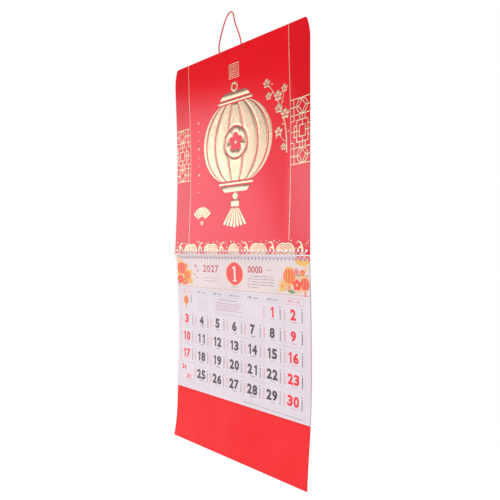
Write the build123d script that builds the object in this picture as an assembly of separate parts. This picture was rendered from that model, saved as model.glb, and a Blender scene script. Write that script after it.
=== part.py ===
from build123d import *
import os
from math import comb, cos, pi, radians, sin, sqrt, tan

# A hanging wall calendar: a red card with gold foil, and below it a pad of month leaves over a longer
# red card, all held by one twin-loop wire. Millimetres. +Z up, the printed side faces -Y. The origin is
# the top of the nail, under the highest point of the cord.

os.makedirs("parts", exist_ok=True)

# The upper board
board_width = 345.0
board_height = 375.0
board_thickness = 0.5
board_margin = 4.4  # from the wire holes to the board's lower edge
corner_radius = 82.0  # the long rounding of each top corner
corner_drop = 35.0  # how far down the side that rounding starts
tip_radius = 4.0  # where that rounding meets the top edge

# The month leaves and the card behind them
leaf_inset = 2.8  # the leaves are this much narrower at each side than the board
leaf_margin = 3.6  # from the wire holes to the leaves' upper edge
pad_height = 267.0
pad_thickness = 1.5
card_tail = 101.0  # what shows of the card below the pad
card_thickness = 0.45
leaf_gap = 0.3  # between the pad and the card behind it
pad_stand = 0.7  # from the board's plane to the front of the pad, at the wire

# How far each sheet bows back, as the control heights of a Bezier curve from its top to its bottom.
# The board is bowed like part of a barrel, and flattens out towards its right edge, which is straight.
# Each sheet is made of level strips that follow its bow.
board_bow = (0.6, 0.3, 11.0, 7.5, 5.0, 0.0)
board_edge_bow = (0.6, 0.0, 0.0, 0.0, 0.0, 0.0)
board_flattening = 60.0
pad_bow_left = (0.0, 5.4, 8.4, 7.4, 3.4)
pad_bow_right = (0.0, 4.4, 4.4, 7.4, 2.4)
tail_bow_left = (2.3, -6.8)
tail_bow_right = (-4.8, -6.4)
board_strips = 9
board_columns = 2  # in the part that flattens out
pad_strips = 8
tail_strips = 3

# The twin-loop wire and the holes for it
loop_pitch = 25.4 / 3
loop_radius = 6.0
loop_chords = 6
wire_diameter = 0.95
wire_sides = 4
twin_spacing = 2.4  # between the two wires of a loop
seam_angle = 63.0  # where the loops close, above the horizontal, behind the board
seam_opening = 20.0
hole_size = 4.0
hole_edge = 2.0  # least card beside the outer holes
wire_play = 0.1

# The cord
cord_diameter = 2.0
cord_sides = 5
cord_rise = 60.0  # from the board's top edge to the cord's highest point
nail_reach = 8.0  # from the cord's highest point back to the board's plane
cord_hole_diameter = 3.4
cord_hole_spacing = 55.0
cord_hole_drop = 9.0
knot_gap = 0.15
knot_radius = 3.1
knot_length = 4.6
knot_rounding = 1.3
knot_tail = 3.0

# The gold foil, which is embossed: the card stands out under it
foil_thickness = 0.2
foil_bond = 0.12
foil_inset = 0.3  # from the foil to an edge of the board
line_width = 2.0
line_inset = 43.7  # from the board's side to the middle of each long line
curve_sides = 12  # small rings, discs and lobes are drawn with this many sides

lattice_top = 124.0
lattice_end_height = 25.8  # each of the two end fields, with a ring in it
lattice_middle_height = 52.9
lattice_axis = 26.1  # from the long line to the middle of the pattern
star_width = 16.6
star_waist = 0.42  # where its sides bend in, as a share of the way to its points
frame_width = 25.4
frame_height = 34.8
core_width = 13.8
core_height = 18.0
bracket_width = 37.0
stay_spacing = 6.2

fret_width = 25.6
fret_height = 26.6
fret_top = 29.0
fret_line = 1.5
fret_turns = 3

wave_height = 24.0  # to the top of the crests
mound_height = 20.0
mound_radius = 14.0
mound_pitch = 61.0
lobe_offset = 6.0
crest_line = 2.2

lantern_drop = 6.0  # from the small square down to the lantern's ring
lantern_foot = 24.0  # from the lantern's tassel down to the waves
lantern_width = 177.0
lantern_ribs = 7
lantern_gap = 2.4
cap_width = 78.0
cap_taper = 11.0
cap_height = 11.0
rim_height = 5.0
rim_overhang = 5.0
ring_radius = 9.0
ring_line = 4.0
medallion_radius = 28.0
petal_radius = 7.0
petal_reach = 10.5
blossom_dot = 3.2
bead_radius = 7.0
tassel_head_width = 20.0
tassel_head_height = 13.0
tassel_height = 52.0
tassel_width = 62.0
tassel_strands = 7
tassel_gap = 1.8
tassel_scallop = 3.0

# Places that follow from those sizes
top_z = cord_diameter / 2 - cord_rise
plane_y = nail_reach
leaf_width = board_width - 2 * leaf_inset
loop_bore = loop_radius - wire_diameter / 2
card_stand = pad_stand + pad_thickness + leaf_gap


def bend(offsets, share):
    """The height of a Bezier curve with evenly spaced control heights, at a share of its length."""
    last = len(offsets) - 1
    return sum(comb(last, i) * share**i * (1 - share) ** (last - i) * h for i, h in enumerate(offsets))


def seat(far_face):
    """How far from the wire's axis a hole's edge hangs, when the sheet's far face is this far off."""
    return sqrt(loop_bore**2 - far_face**2) - wire_play


def strip_bend(offsets, share, strips):
    """The height of a sheet of straight strips that follows that curve."""
    upper = min(int(share * strips), strips - 1)
    start, end = (bend(offsets, (upper + i) / strips) for i in (0, 1))
    return start + (end - start) * (share * strips - upper)


leaf_lean = max(strip_bend(bow, leaf_margin / pad_height, pad_strips) for bow in (pad_bow_left, pad_bow_right))
board_lean = strip_bend(board_bow, 1 - board_margin / board_height, board_strips)
board_end_z = top_z - board_height
board_hole_z = board_end_z + board_margin + hole_size / 2
axis_z = board_end_z + board_margin - seat(board_thickness / 2 + board_lean)
leaf_top_z = axis_z - seat(card_stand + card_thickness + leaf_lean) + leaf_margin
leaf_hole_z = leaf_top_z - leaf_margin - hole_size / 2
loop_count = int((leaf_width - 2 * hole_edge - hole_size) / loop_pitch) + 1
loop_places = [loop_pitch * (i - (loop_count - 1) / 2) for i in range(loop_count)]


def sheet(front, thickness):
    """A sheet of card or paper. Its front is given as rows of points from its top to its bottom, with a
    ruled face in each cell. Its back is the same moved back, and four flat faces close the cut edges."""
    back = [[point + Vector(0, thickness, 0) for point in row] for row in front]
    faces = []
    for side in (front, back):
        for upper, lower in zip(side, side[1:]):
            edges = [Edge.make_line(*ends) for ends in zip(upper, lower)]
            faces += [Face.make_surface_from_curves(*pair) for pair in zip(edges, edges[1:])]
    borders = [(front[i], back[i]) for i in (0, -1)]
    borders += [([row[i] for row in front], [row[i] for row in back]) for i in (0, -1)]
    faces += [Face(Wire.make_polygon([*near, *reversed(far)])) for near, far in borders]
    return Solid(Shell(faces))


def leaf_rows(bows, top, height, front, strips):
    """The rows of a leaf's front, from a bow at its left side to a bow at its right side."""
    rows = []
    for i in range(strips + 1):
        ends = ((side * leaf_width / 2, bend(bow, i / strips)) for side, bow in zip((-1, 1), bows))
        rows.append([Vector(x, plane_y + front + h, top - height * i / strips) for x, h in ends])
    return rows


def punched(card, hole_z):
    """The sheet with its row of square holes for the wire."""
    punch = Box(hole_size, 40, hole_size)
    return card - [Pos(x, plane_y, hole_z) * punch for x in loop_places]


def board_layer(front, thickness):
    """A sheet that follows the board, with its front this far from the middle of the board's card. The
    barrel's bow goes over into the straight edge's as the square of the way."""
    side = board_width / 2
    places = [(-side, 0.0)]
    for i in range(board_columns + 1):
        way = i / board_columns
        places.append((side - board_flattening * (1 - way), way**2))
    rows = []
    for i in range(board_strips + 1):
        share = i / board_strips
        bow, edge_bow = bend(board_bow, share), bend(board_edge_bow, share)
        heights = [bow + (edge_bow - bow) * eased for x, eased in places]
        z = top_z - board_height * share
        rows.append([Vector(x, plane_y + front + h, z) for (x, eased), h in zip(places, heights)])
    return sheet(rows, thickness)


def across_board(sketch):
    """A flat outline, with its origin in the middle of the board's top edge, set upright and made deep
    enough to cut the board."""
    upright = Plane(origin=(0, plane_y, top_z), x_dir=(1, 0, 0), z_dir=(0, -1, 0))
    return extrude(upright * sketch, 30, both=True)


def top_corner():
    """What the rounding takes off the right top corner."""
    side = board_width / 2
    trim = corner_radius - sqrt(corner_radius**2 - corner_drop**2)
    middle = corner_radius - sqrt(corner_radius**2 - (corner_drop / 2) ** 2)
    start, end = (side, -corner_drop), (side - trim, 0)
    arc = ThreePointArc(start, (side - middle, -corner_drop / 2), end)
    outside = Polyline(end, (side - trim, 5), (side + 5, 5), (side + 5, -corner_drop), start)
    return make_face([arc, outside])


def upper_board():
    card = punched(board_layer(-board_thickness / 2, board_thickness), board_hole_z)
    card -= across_board(top_corner() + mirror(top_corner(), Plane.YZ))
    hole = Rot(90, 0, 0) * Cylinder(cord_hole_diameter / 2, 40)
    for side in (-1, 1):
        card -= Pos(side * cord_hole_spacing / 2, plane_y, top_z - cord_hole_drop) * hole
    top_edges = [e for e in card.edges() if abs(e.center().Z - top_z) < 0.1 and e.length < 1.2 * board_thickness]
    ends = sorted(top_edges, key=lambda e: e.center().X)
    return fillet([ends[0], ends[-1]], tip_radius)


def calendar_pad():
    bows = (pad_bow_left, pad_bow_right)
    block = sheet(leaf_rows(bows, leaf_top_z, pad_height, pad_stand, pad_strips), pad_thickness)
    return punched(block, leaf_hole_z)


def back_card():
    """The card lies along the back of the pad, then bows forward below it, smoothly joined."""
    bows = (pad_bow_left, pad_bow_right)
    rows = leaf_rows(bows, leaf_top_z, pad_height, card_stand, pad_strips)
    tails = []
    for bow, tail in zip(bows, (tail_bow_left, tail_bow_right)):
        slope = (bow[-1] - bow[-2]) * (len(bow) - 1) / pad_height
        tails.append((bow[-1], bow[-1] + slope * card_tail / (len(tail) + 1), *tail))
    rows += leaf_rows(tails, leaf_top_z - pad_height, card_tail, card_stand, tail_strips)[1:]
    return punched(sheet(rows, card_thickness), leaf_hole_z)


def loop_point(angle, x):
    """A corner of a loop's polygon, whose sides touch a circle of the loop's radius."""
    reach = loop_radius / cos(radians((360 - seam_opening) / loop_chords / 2))
    return Vector(x, plane_y + reach * cos(radians(angle)), axis_z + reach * sin(radians(angle)))


def twin_loop():
    """One finger of the wire comb: a link, the first loop, its closed end, the second loop, a link."""
    start = seam_angle + seam_opening / 2
    step = (360 - seam_opening) / loop_chords
    angles = [start + step * i for i in range(loop_chords + 1)]
    path = [loop_point(start, -loop_pitch / 2)]
    path += [loop_point(angle, -twin_spacing / 2) for angle in angles]
    path += [loop_point(angle, twin_spacing / 2) for angle in reversed(angles)]
    path += [loop_point(start, loop_pitch / 2)]
    section = Plane(origin=path[0], z_dir=(1, 0, 0)) * RegularPolygon(wire_diameter / 2, wire_sides)
    return sweep(section, Polyline(*path), transition=Transition.RIGHT)


def binding_wire():
    finger = twin_loop()
    return Part() + [Pos(x, 0, 0) * finger for x in loop_places]


def disc(radius):
    return RegularPolygon(radius, curve_sides)


def stroke(points, width=line_width):
    """A line of this width through the points, with square ends."""
    return Sketch() + trace(Polyline(*points), width)


def outline(width, height, line=line_width):
    return Rectangle(width + line, height + line) - Rectangle(width - line, height - line)


def foil(sketch):
    """Foil of this outline on the board, as far as the board reaches."""
    front = -board_thickness / 2 - foil_bond - foil_thickness
    reach = Rectangle(board_width - 2 * foil_inset, 2 * (board_height - foil_inset))
    return board_layer(front, foil_thickness) & across_board(sketch & reach)


def both_sides(sketch):
    return sketch + mirror(sketch, Plane.YZ)


def long_line():
    """The line down the right side, which ends just above the waves."""
    x = board_width / 2 - line_inset
    return stroke([(x, -foil_inset), (x, wave_height - board_height + foil_inset)])


def ringed_star():
    """The end fields' pattern: a ring and, inside it, four points joined by sides that bend in."""
    outer = lattice_end_height / 2
    tip, side = outer - line_width / 2, star_width / 2
    pattern = disc(outer) - disc(outer - line_width)
    for sx in (-1, 1):
        for sy in (-1, 1):
            inward = (sx * side * star_waist, sy * tip * star_waist)
            pattern += stroke([(0, sy * tip), inward, (sx * side, 0)])
    return pattern


def lattice():
    """The window lattice around its own middle: three fields, of which the outer two hold a ring."""
    rail = lattice_middle_height / 2
    end = rail + lattice_end_height
    ring_y = (rail + end) / 2
    reach = lattice_axis
    wing = bracket_width / 2
    frame_x, frame_y = frame_width / 2, frame_height / 2
    core_x, core_y = core_width / 2, core_height / 2
    quarter = [
        stroke([(0, end), (reach, end)]),
        stroke([(0, rail), (reach, rail)]),
        stroke([(star_width / 2, ring_y), (reach, ring_y)]),
        stroke([(wing, end), (wing, frame_y), (reach, frame_y)]),
        stroke([(stay_spacing, rail), (stay_spacing, frame_y)]),
        stroke([(0, rail), (0, core_y)]),
        stroke([(frame_x, core_y), (wing, core_y), (wing, 0)]),
        stroke([(core_x, 0), (reach, 0)]),
    ]
    half = Sketch() + quarter + Pos(0, ring_y) * ringed_star()
    half = both_sides(half) + outline(frame_width, frame_height) + outline(core_width, core_height)
    return half + mirror(half, Plane.XZ)


def lattice_panel():
    """The lattice at the right, from the long line to the board's side, which cuts the pattern off."""
    line_x = board_width / 2 - line_inset
    middle = lattice_top + lattice_end_height + lattice_middle_height / 2
    strip = Rectangle(line_inset, board_height, align=(Align.MIN, Align.MAX))
    return Pos(line_x + lattice_axis, -middle) * lattice() & Pos(line_x + line_width / 2, 0) * strip


def fret_square():
    """A square frame with a square spiral in it."""
    right, top = (fret_width - fret_line) / 2, (fret_height - fret_line) / 2
    step_x, step_y = (2 * side / (2 * fret_turns + 1) for side in (right, top))
    path = [(step_x - right, top)]
    for turn in range(1, fret_turns + 1):
        x, y = right - step_x * turn, top - step_y * turn
        path += [(-x, -y), (x, -y), (x, y), (step_x - x, y)]
    square = outline(2 * right, 2 * top, fret_line) + stroke(path[:-1], fret_line)
    return Pos(0, -fret_top - fret_height / 2) * square


def mound(lobes):
    """A rounded wave of one or two lobes, which runs down to the board's lower edge."""
    lobe = disc(mound_radius)
    shape = Sketch() + [Pos(x, mound_height - mound_radius) * lobe for x in lobes]
    return shape & Rectangle(6 * mound_radius, mound_height, align=(Align.CENTER, Align.MIN))


def crest():
    """A thin wave that turns over to the right, and a small one under it, as shares of their height."""
    stem = [(-0.16, 0.0), (-0.23, 0.27), (-0.17, 0.58), (-0.02, 0.84), (0.14, 0.92), (0.28, 0.81)]
    curl = [(-0.16, 0.45), (0.0, 0.54), (0.12, 0.42), (0.14, 0.22)]
    waves = [stroke([(x * wave_height, y * wave_height) for x, y in line], crest_line) for line in (stem, curl)]
    return Sketch() + waves


def wave_border():
    """Double mounds at both sides of a single one, with crests between them that lean outwards."""
    half = Sketch()
    for i in (1, 2):
        half += Pos(i * mound_pitch, 0) * mound((-lobe_offset, lobe_offset))
    for i in range(3):
        half += Pos((i + 0.5) * mound_pitch, 0) * mirror(crest(), Plane.YZ)
    return Pos(0, foil_inset - board_height) * (mound((0,)) + both_sides(half))


def rib(inner, outer, half_height):
    """One rib of the lantern between two upright arcs, which draw in towards its caps."""
    draw = cap_width / lantern_width
    near = ThreePointArc((inner * draw, -half_height), (inner, 0), (inner * draw, half_height))
    far = ThreePointArc((outer * draw, half_height), (outer, 0), (outer * draw, -half_height))
    return make_face([near, Line(near @ 1, far @ 0), far, Line(far @ 1, near @ 0)])


def blossom():
    """Five round petals round a dot."""
    petal = Pos(0, petal_reach) * disc(petal_radius)
    return Sketch() + [Rot(0, 0, 72 * i) * petal for i in range(5)] - disc(blossom_dot)


def lantern_body(half_height):
    """Ribs round a medallion from which a blossom is left out."""
    half_gap = lantern_gap / 2
    edges = [lantern_width / 2 * sin(pi * (i + 0.5) / lantern_ribs) for i in range((lantern_ribs + 1) // 2)]
    edges[-1] += half_gap
    half = Sketch()
    for inner, outer in zip(edges, edges[1:]):
        half += rib(inner + half_gap, outer - half_gap, half_height)
    middle = rib(half_gap - edges[0], edges[0] - half_gap, half_height)
    body = both_sides(half) + middle
    return body - disc(medallion_radius + lantern_gap) + (disc(medallion_radius) - blossom())


def tassel():
    """A head and, below it, strands that spread out, with rounded ends."""
    head_foot = -tassel_head_height
    head = Rectangle(tassel_head_width, tassel_head_height, align=(Align.CENTER, Align.MAX))
    fringe = Sketch()
    for i in range(tassel_strands):
        near, far = (2 * k / tassel_strands - 1 for k in (i, i + 1))
        top = head_foot - tassel_gap
        slim = tassel_gap / 2 * tassel_head_width / tassel_width
        upper = (near * tassel_head_width / 2 + slim, top), (far * tassel_head_width / 2 - slim, top)
        foot = tassel_scallop * (1 + abs(near + far)) - tassel_height
        left, right = near * tassel_width / 2 + tassel_gap / 2, far * tassel_width / 2 - tassel_gap / 2
        sides = Polyline((left, foot), *upper, (right, foot))
        end = ThreePointArc((right, foot), ((left + right) / 2, foot - tassel_scallop), (left, foot))
        fringe += make_face([sides, end])
    return head + fringe


def ornament():
    """A festival lantern: a ring, caps and rims, a ribbed body and a tassel. The body takes up the
    height that the others leave free between the small square and the waves."""
    rim_step = rim_height + 2 * lantern_gap
    end_height = rim_step + cap_height
    body_top = -fret_top - fret_height - lantern_drop - 2 * ring_radius - end_height
    body_foot = lantern_foot + wave_height - board_height + tassel_height + 2 * bead_radius + end_height
    half = (body_top - body_foot) / 2
    rim = Rectangle(cap_width + 2 * rim_overhang, rim_height)
    cap = Polyline(
        (-cap_width / 2, 0),
        (cap_width / 2, 0),
        (cap_width / 2 - cap_taper, cap_height),
        (cap_taper - cap_width / 2, cap_height),
        close=True,
    )
    end = Pos(0, half + rim_step / 2) * rim + Pos(0, half + rim_step) * make_face(cap)
    drawing = lantern_body(half) + end + mirror(end, Plane.XZ)
    hook = disc(ring_radius) - disc(ring_radius - ring_line)
    drawing += Pos(0, half + end_height + ring_radius) * hook
    drawing += Pos(0, -half - end_height - bead_radius) * disc(bead_radius)
    drawing += Pos(0, -half - end_height - 2 * bead_radius) * tassel()
    return Pos(0, (body_top + body_foot) / 2) * drawing


# The cord's way from the left knot through the board, over the nail and back to the right knot
board_back = board_thickness / 2 + strip_bend(board_bow, cord_hole_drop / board_height, board_strips)
knot_y = plane_y + board_back + knot_gap
hole_x = cord_hole_spacing / 2
hole_z = top_z - cord_hole_drop
cord_route = [
    (-hole_x, knot_y, hole_z),
    (-hole_x, knot_y - 5.8, hole_z),
    (-hole_x - 0.5, knot_y - 9.9, hole_z + 4.0),
    (-hole_x - 0.9, knot_y - 12.0, hole_z + 11.5),
    (-24.6, -5.2, -46.0),
    (-19.6, -6.0, -32.5),
    (-14.6, -4.8, -19.0),
    (-10.4, -2.4, -7.6),
    (-4.6, 0.0, 1.0),
    (4.4, 0.0, 1.0),
    (10.0, -2.2, -7.4),
    (14.2, -4.6, -19.4),
    (19.9, -5.8, -33.0),
    (25.0, -5.0, -46.4),
    (hole_x + 0.7, knot_y - 11.6, hole_z + 11.2),
    (hole_x + 0.4, knot_y - 9.7, hole_z + 3.9),
    (hole_x, knot_y - 5.7, hole_z),
    (hole_x, knot_y, hole_z),
]


def hang_cord():
    """A tube of straight runs joined by arcs as large as the runs on both sides of a corner allow."""
    points = [Vector(*p) for p in cord_route]
    radii = []
    for before, here, after in zip(points, points[1:], points[2:]):
        turn = (here - before).get_angle(after - here)
        shorter = min((here - before).length, (after - here).length)
        radii.append(0.45 * shorter / tan(radians(turn / 2)))
    print("cord radii", [round(r, 1) for r in radii])
    path = FilletPolyline(*points, radius=radii)
    section = Plane(origin=points[0], z_dir=points[1] - points[0]) * RegularPolygon(cord_diameter / 2, cord_sides)
    tube = sweep(section, path)
    print("cord length", round(path.length, 1))
    print("cord volume", round(tube.volume, 1), "of", round(path.length * section.area, 1))
    return tube


def cord_knot(side):
    """The stopper knot behind the board, with the cord's short end."""
    section = RegularPolygon(knot_radius, cord_sides)
    ball = extrude(section, knot_length)
    ball = chamfer(ball.faces().filter_by(Axis.Z).edges(), knot_rounding)
    end = extrude(RegularPolygon(cord_diameter / 2, cord_sides), knot_length + knot_tail)
    return Pos(side * hole_x, knot_y, hole_z) * Rot(-90, 0, 0) * (ball + end)


nodes = {
    "upper_board": upper_board(),
    "calendar_pad": calendar_pad(),
    "back_card": back_card(),
    "binding_wire": binding_wire(),
    "gold_ornament": foil(ornament()),
    "gold_fret_square": foil(fret_square()),
    "gold_lattices": foil(both_sides(lattice_panel())),
    "gold_lines": foil(both_sides(long_line())),
    "gold_wave_border": punched(foil(wave_border()), board_hole_z),
    "hang_cord": hang_cord(),
    "cord_knot_left": cord_knot(-1),
    "cord_knot_right": cord_knot(1),
}

for name, shape in nodes.items():
    export_step(shape, f"parts/{name}.step")
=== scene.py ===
import math

import bpy
import numpy as np
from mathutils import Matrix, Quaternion, Vector


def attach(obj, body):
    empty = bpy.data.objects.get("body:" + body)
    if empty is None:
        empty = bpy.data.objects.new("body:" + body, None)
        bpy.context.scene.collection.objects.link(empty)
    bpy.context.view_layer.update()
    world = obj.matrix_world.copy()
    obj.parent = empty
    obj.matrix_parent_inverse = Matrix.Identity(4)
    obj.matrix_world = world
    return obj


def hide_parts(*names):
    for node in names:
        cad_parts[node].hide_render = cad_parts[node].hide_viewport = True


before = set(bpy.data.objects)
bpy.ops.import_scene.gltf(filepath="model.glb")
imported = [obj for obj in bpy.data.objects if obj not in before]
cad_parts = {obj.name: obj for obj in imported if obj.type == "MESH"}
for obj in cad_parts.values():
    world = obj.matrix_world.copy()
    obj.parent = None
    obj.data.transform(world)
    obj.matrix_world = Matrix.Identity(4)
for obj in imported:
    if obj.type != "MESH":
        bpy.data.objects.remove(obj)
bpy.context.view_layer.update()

# A hanging wall calendar: a red card stamped with gold foil, and under it a pad of month leaves over a
# longer red card, all held by one white twin-loop wire. The printed side faces -Y, and the origin is the
# top of the nail, under the cord's highest point. The pieces' lengths are millimetres until a mesh is
# made, and the camera, the studio and the materials are in metres.


# Camera
# The photographer stood level with the middle of the calendar and to its right, so the printed side is
# seen from the right at 44 degrees, and everything above and below the lens runs off in perspective.
lens_place = Vector((0.6249, -0.5955, -0.4263))
lens_turn = 44.0
focal_length, film_width = 34.56, 36.0

camera_data = bpy.data.cameras.new("camera")
camera_data.sensor_width = film_width
camera_data.lens = focal_length
camera = bpy.data.objects.new("camera", camera_data)
camera.location = lens_place
camera.rotation_euler = (math.radians(90), 0, math.radians(lens_turn))
bpy.context.collection.objects.link(camera)
bpy.context.scene.camera = camera
bpy.context.scene.view_settings.view_transform = "Standard"


# Studio
# A tall softbox stands to the left of the camera, and the laminate and the foil mirror it: above its
# edge they stay deep in colour, below it they go pale. A small lamp behind the camera fills. The room's
# light is even, but mirrors show a bright wall in it, and above that a dimmer ceiling with a dark part.
softbox_centre = Vector((-1.98, -1.58, -0.60))
softbox_size = (1.4, 1.75)
softbox_roll = 23.0
softbox_watts = 11.5
fill_centre = Vector((1.9, -1.3, 1.4))
fill_size = (1.2, 1.2)
fill_watts = 10.0
sheets_middle = Vector((0.0, 0.0, -0.43))
room_light = 0.81
wall_mirrored, ceiling_mirrored, dark_mirrored = 1.65, 0.9, 0.22
wall_edge = (0.21, 0.255)  # the heights of a direction between which the wall becomes the ceiling
dark_way = (-0.62, -0.62, 0.48)
dark_edge = (0.82, 0.95)  # how nearly a direction points at the dark part where it starts and is full


def lamp(name, place, aim, size, watts, roll=0.0):
    """A rectangular lamp at a place, turned to face its aim and then rolled about that direction."""
    data = bpy.data.lights.new(name, "AREA")
    data.shape = "RECTANGLE"
    data.size, data.size_y = size
    data.energy = watts
    light = bpy.data.objects.new(name, data)
    light.location = place
    facing = (aim - place).to_track_quat("-Z", "Y")
    light.rotation_mode = "QUATERNION"
    light.rotation_quaternion = facing @ Quaternion((0, 0, 1), math.radians(roll))
    bpy.context.collection.objects.link(light)


lamp("softbox", softbox_centre, sheets_middle, softbox_size, softbox_watts, softbox_roll)
lamp("fill", fill_centre, sheets_middle, fill_size, fill_watts)


def add_node(tree, kind, settings=None, values=None):
    """A shader node with its settings and with values on its unlinked sockets, by name or number."""
    node = tree.nodes.new(kind)
    for key, value in (settings or {}).items():
        setattr(node, key, value)
    for key, value in (values or {}).items():
        node.inputs[key].default_value = value
    return node


def feed(tree, socket, value):
    """Links another node's output to a socket, or sets a number or a colour on it."""
    if isinstance(value, bpy.types.NodeSocket):
        tree.links.new(value, socket)
    else:
        socket.default_value = value


def reckon(tree, operation, first, second=0.0):
    """The result of a Math node on two values, each an output or a number."""
    node = add_node(tree, "ShaderNodeMath", {"operation": operation})
    feed(tree, node.inputs[0], first)
    feed(tree, node.inputs[1], second)
    return node.outputs[0]


def mixed(tree, factor, first, second, blend="MIX"):
    """A colour that goes from the first to the second with a factor. Each is an output or a colour."""
    node = add_node(tree, "ShaderNodeMix", {"data_type": "RGBA", "blend_type": blend})
    for name, value in (("Factor", factor), ("A", first), ("B", second)):
        feed(tree, node.inputs[name], value)
    return node.outputs["Result"]


def blended(tree, share, first, second):
    """A shader that goes from the first to the second with a share."""
    node = tree.nodes.new("ShaderNodeMixShader")
    for socket, value in zip(node.inputs, (share, first, second)):
        tree.links.new(value, socket)
    return node.outputs[0]


def glow(tree, kind, strength, colour=(1, 1, 1, 1)):
    """A Background or Emission shader of a strength, white unless it gets a colour."""
    node = add_node(tree, kind, values={"Strength": strength})
    feed(tree, node.inputs["Color"], colour)
    return node.outputs[0]


def ramp(tree, source, stops):
    """A colour ramp on a value: stops are (place, colour), where a number stands for a grey."""
    node = tree.nodes.new("ShaderNodeValToRGB")
    steps = node.color_ramp.elements
    for step, (place, colour) in zip(steps, stops, strict=True):
        step.position = place
        step.color = (*colour, 1.0) if isinstance(colour, tuple) else (colour, colour, colour, 1.0)
    tree.links.new(source, node.inputs["Fac"])
    return node.outputs["Color"]


def object_place(tree):
    """The place of a point of a piece, in metres: its Object coordinates."""
    return tree.nodes.new("ShaderNodeTexCoord").outputs["Object"]


def show_backdrop(tree, plain, shown):
    """Goes from the plain shader to the shown one for rays from the camera, from mirrors and through
    glass. It also gives back which rays are the camera's."""
    path = tree.nodes.new("ShaderNodeLightPath")
    camera_ray = path.outputs["Is Camera Ray"]
    clear_ray = reckon(tree, "MAXIMUM", camera_ray, path.outputs["Is Transmission Ray"])
    share = reckon(tree, "MAXIMUM", clear_ray, path.outputs["Is Glossy Ray"])
    return blended(tree, share, plain, shown), camera_ray


world = bpy.data.worlds.new("studio")
world.use_nodes = True
bpy.context.scene.world = world
room = world.node_tree
room.nodes.clear()
way = room.nodes.new("ShaderNodeTexCoord").outputs["Generated"]
height = room.nodes.new("ShaderNodeSeparateXYZ")
room.links.new(way, height.inputs[0])
toward_dark = add_node(room, "ShaderNodeVectorMath", {"operation": "DOT_PRODUCT"}, {1: dark_way})
room.links.new(way, toward_dark.inputs[0])
ceiling = ramp(room, toward_dark.outputs["Value"], list(zip(dark_edge, (ceiling_mirrored, dark_mirrored))))
above = ramp(room, height.outputs["Z"], list(zip(wall_edge, (0.0, 1.0))))
mirrored = mixed(room, above, (wall_mirrored, wall_mirrored, wall_mirrored, 1), ceiling)
even_light = glow(room, "ShaderNodeBackground", room_light)
surround, camera_ray = show_backdrop(room, even_light, glow(room, "ShaderNodeBackground", 1.0, mirrored))
studio_seen = blended(room, camera_ray, surround, glow(room, "ShaderNodeBackground", 1.0))
room.links.new(studio_seen, room.nodes.new("ShaderNodeOutputWorld").inputs["Surface"])

# The floor is a pale disc well below the calendar. It keeps the calendar's soft shadow near its middle
# and goes over into the white of the studio further out.
floor_drop = -1.35
floor_radius = 9.0
floor_rings, floor_spokes = 24, 96
floor_tone = 0.9
floor_lift = 0.36
shadow_reach, white_reach = 0.6, 2.2
rings = np.linspace(0.0, 1.0, floor_rings + 1)[1:] ** 2 * floor_radius
turns = np.linspace(0, 2 * math.pi, floor_spokes + 1)[:-1]
floor_x, floor_y = np.outer(rings, np.cos(turns)), np.outer(rings, np.sin(turns))
floor_points = np.stack([floor_x, floor_y, np.full(floor_x.shape, floor_drop)], axis=-1).reshape(-1, 3)
spokes = np.arange(floor_x.size).reshape(floor_x.shape)
bands = np.stack([spokes[:-1], spokes[1:], np.roll(spokes[1:], -1, 1), np.roll(spokes[:-1], -1, 1)], -1)
floor_mesh = bpy.data.meshes.new("floor")
floor_mesh.from_pydata(floor_points.tolist(), [], bands.reshape(-1, 4).tolist() + [spokes[0].tolist()])
floor = bpy.data.objects.new("floor", floor_mesh)
bpy.context.collection.objects.link(floor)

floor_paint = bpy.data.materials.new("floor_paint")
floor_paint.use_nodes = True
paint = floor_paint.node_tree
paint.nodes.clear()
matt = add_node(paint, "ShaderNodeBsdfDiffuse", values={"Color": (floor_tone, floor_tone, floor_tone, 1)})
lifted = paint.nodes.new("ShaderNodeAddShader")
paint.links.new(matt.outputs[0], lifted.inputs[0])
paint.links.new(glow(paint, "ShaderNodeEmission", floor_lift), lifted.inputs[1])
centred = add_node(paint, "ShaderNodeVectorMath", {"operation": "SUBTRACT"}, {1: (0, 0, floor_drop)})
paint.links.new(object_place(paint), centred.inputs[0])
reach = add_node(paint, "ShaderNodeVectorMath", {"operation": "LENGTH"})
paint.links.new(centred.outputs[0], reach.inputs[0])
far_out = add_node(paint, "ShaderNodeMapRange", values={"From Min": shadow_reach, "From Max": white_reach})
paint.links.new(reach.outputs["Value"], far_out.inputs["Value"])
ground = blended(paint, far_out.outputs[0], lifted.outputs[0], glow(paint, "ShaderNodeEmission", 1.0))
floor_seen, _ = show_backdrop(paint, matt.outputs[0], ground)
paint.links.new(floor_seen, paint.nodes.new("ShaderNodeOutputMaterial").inputs["Surface"])
floor_mesh.materials.append(floor_paint)


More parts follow.
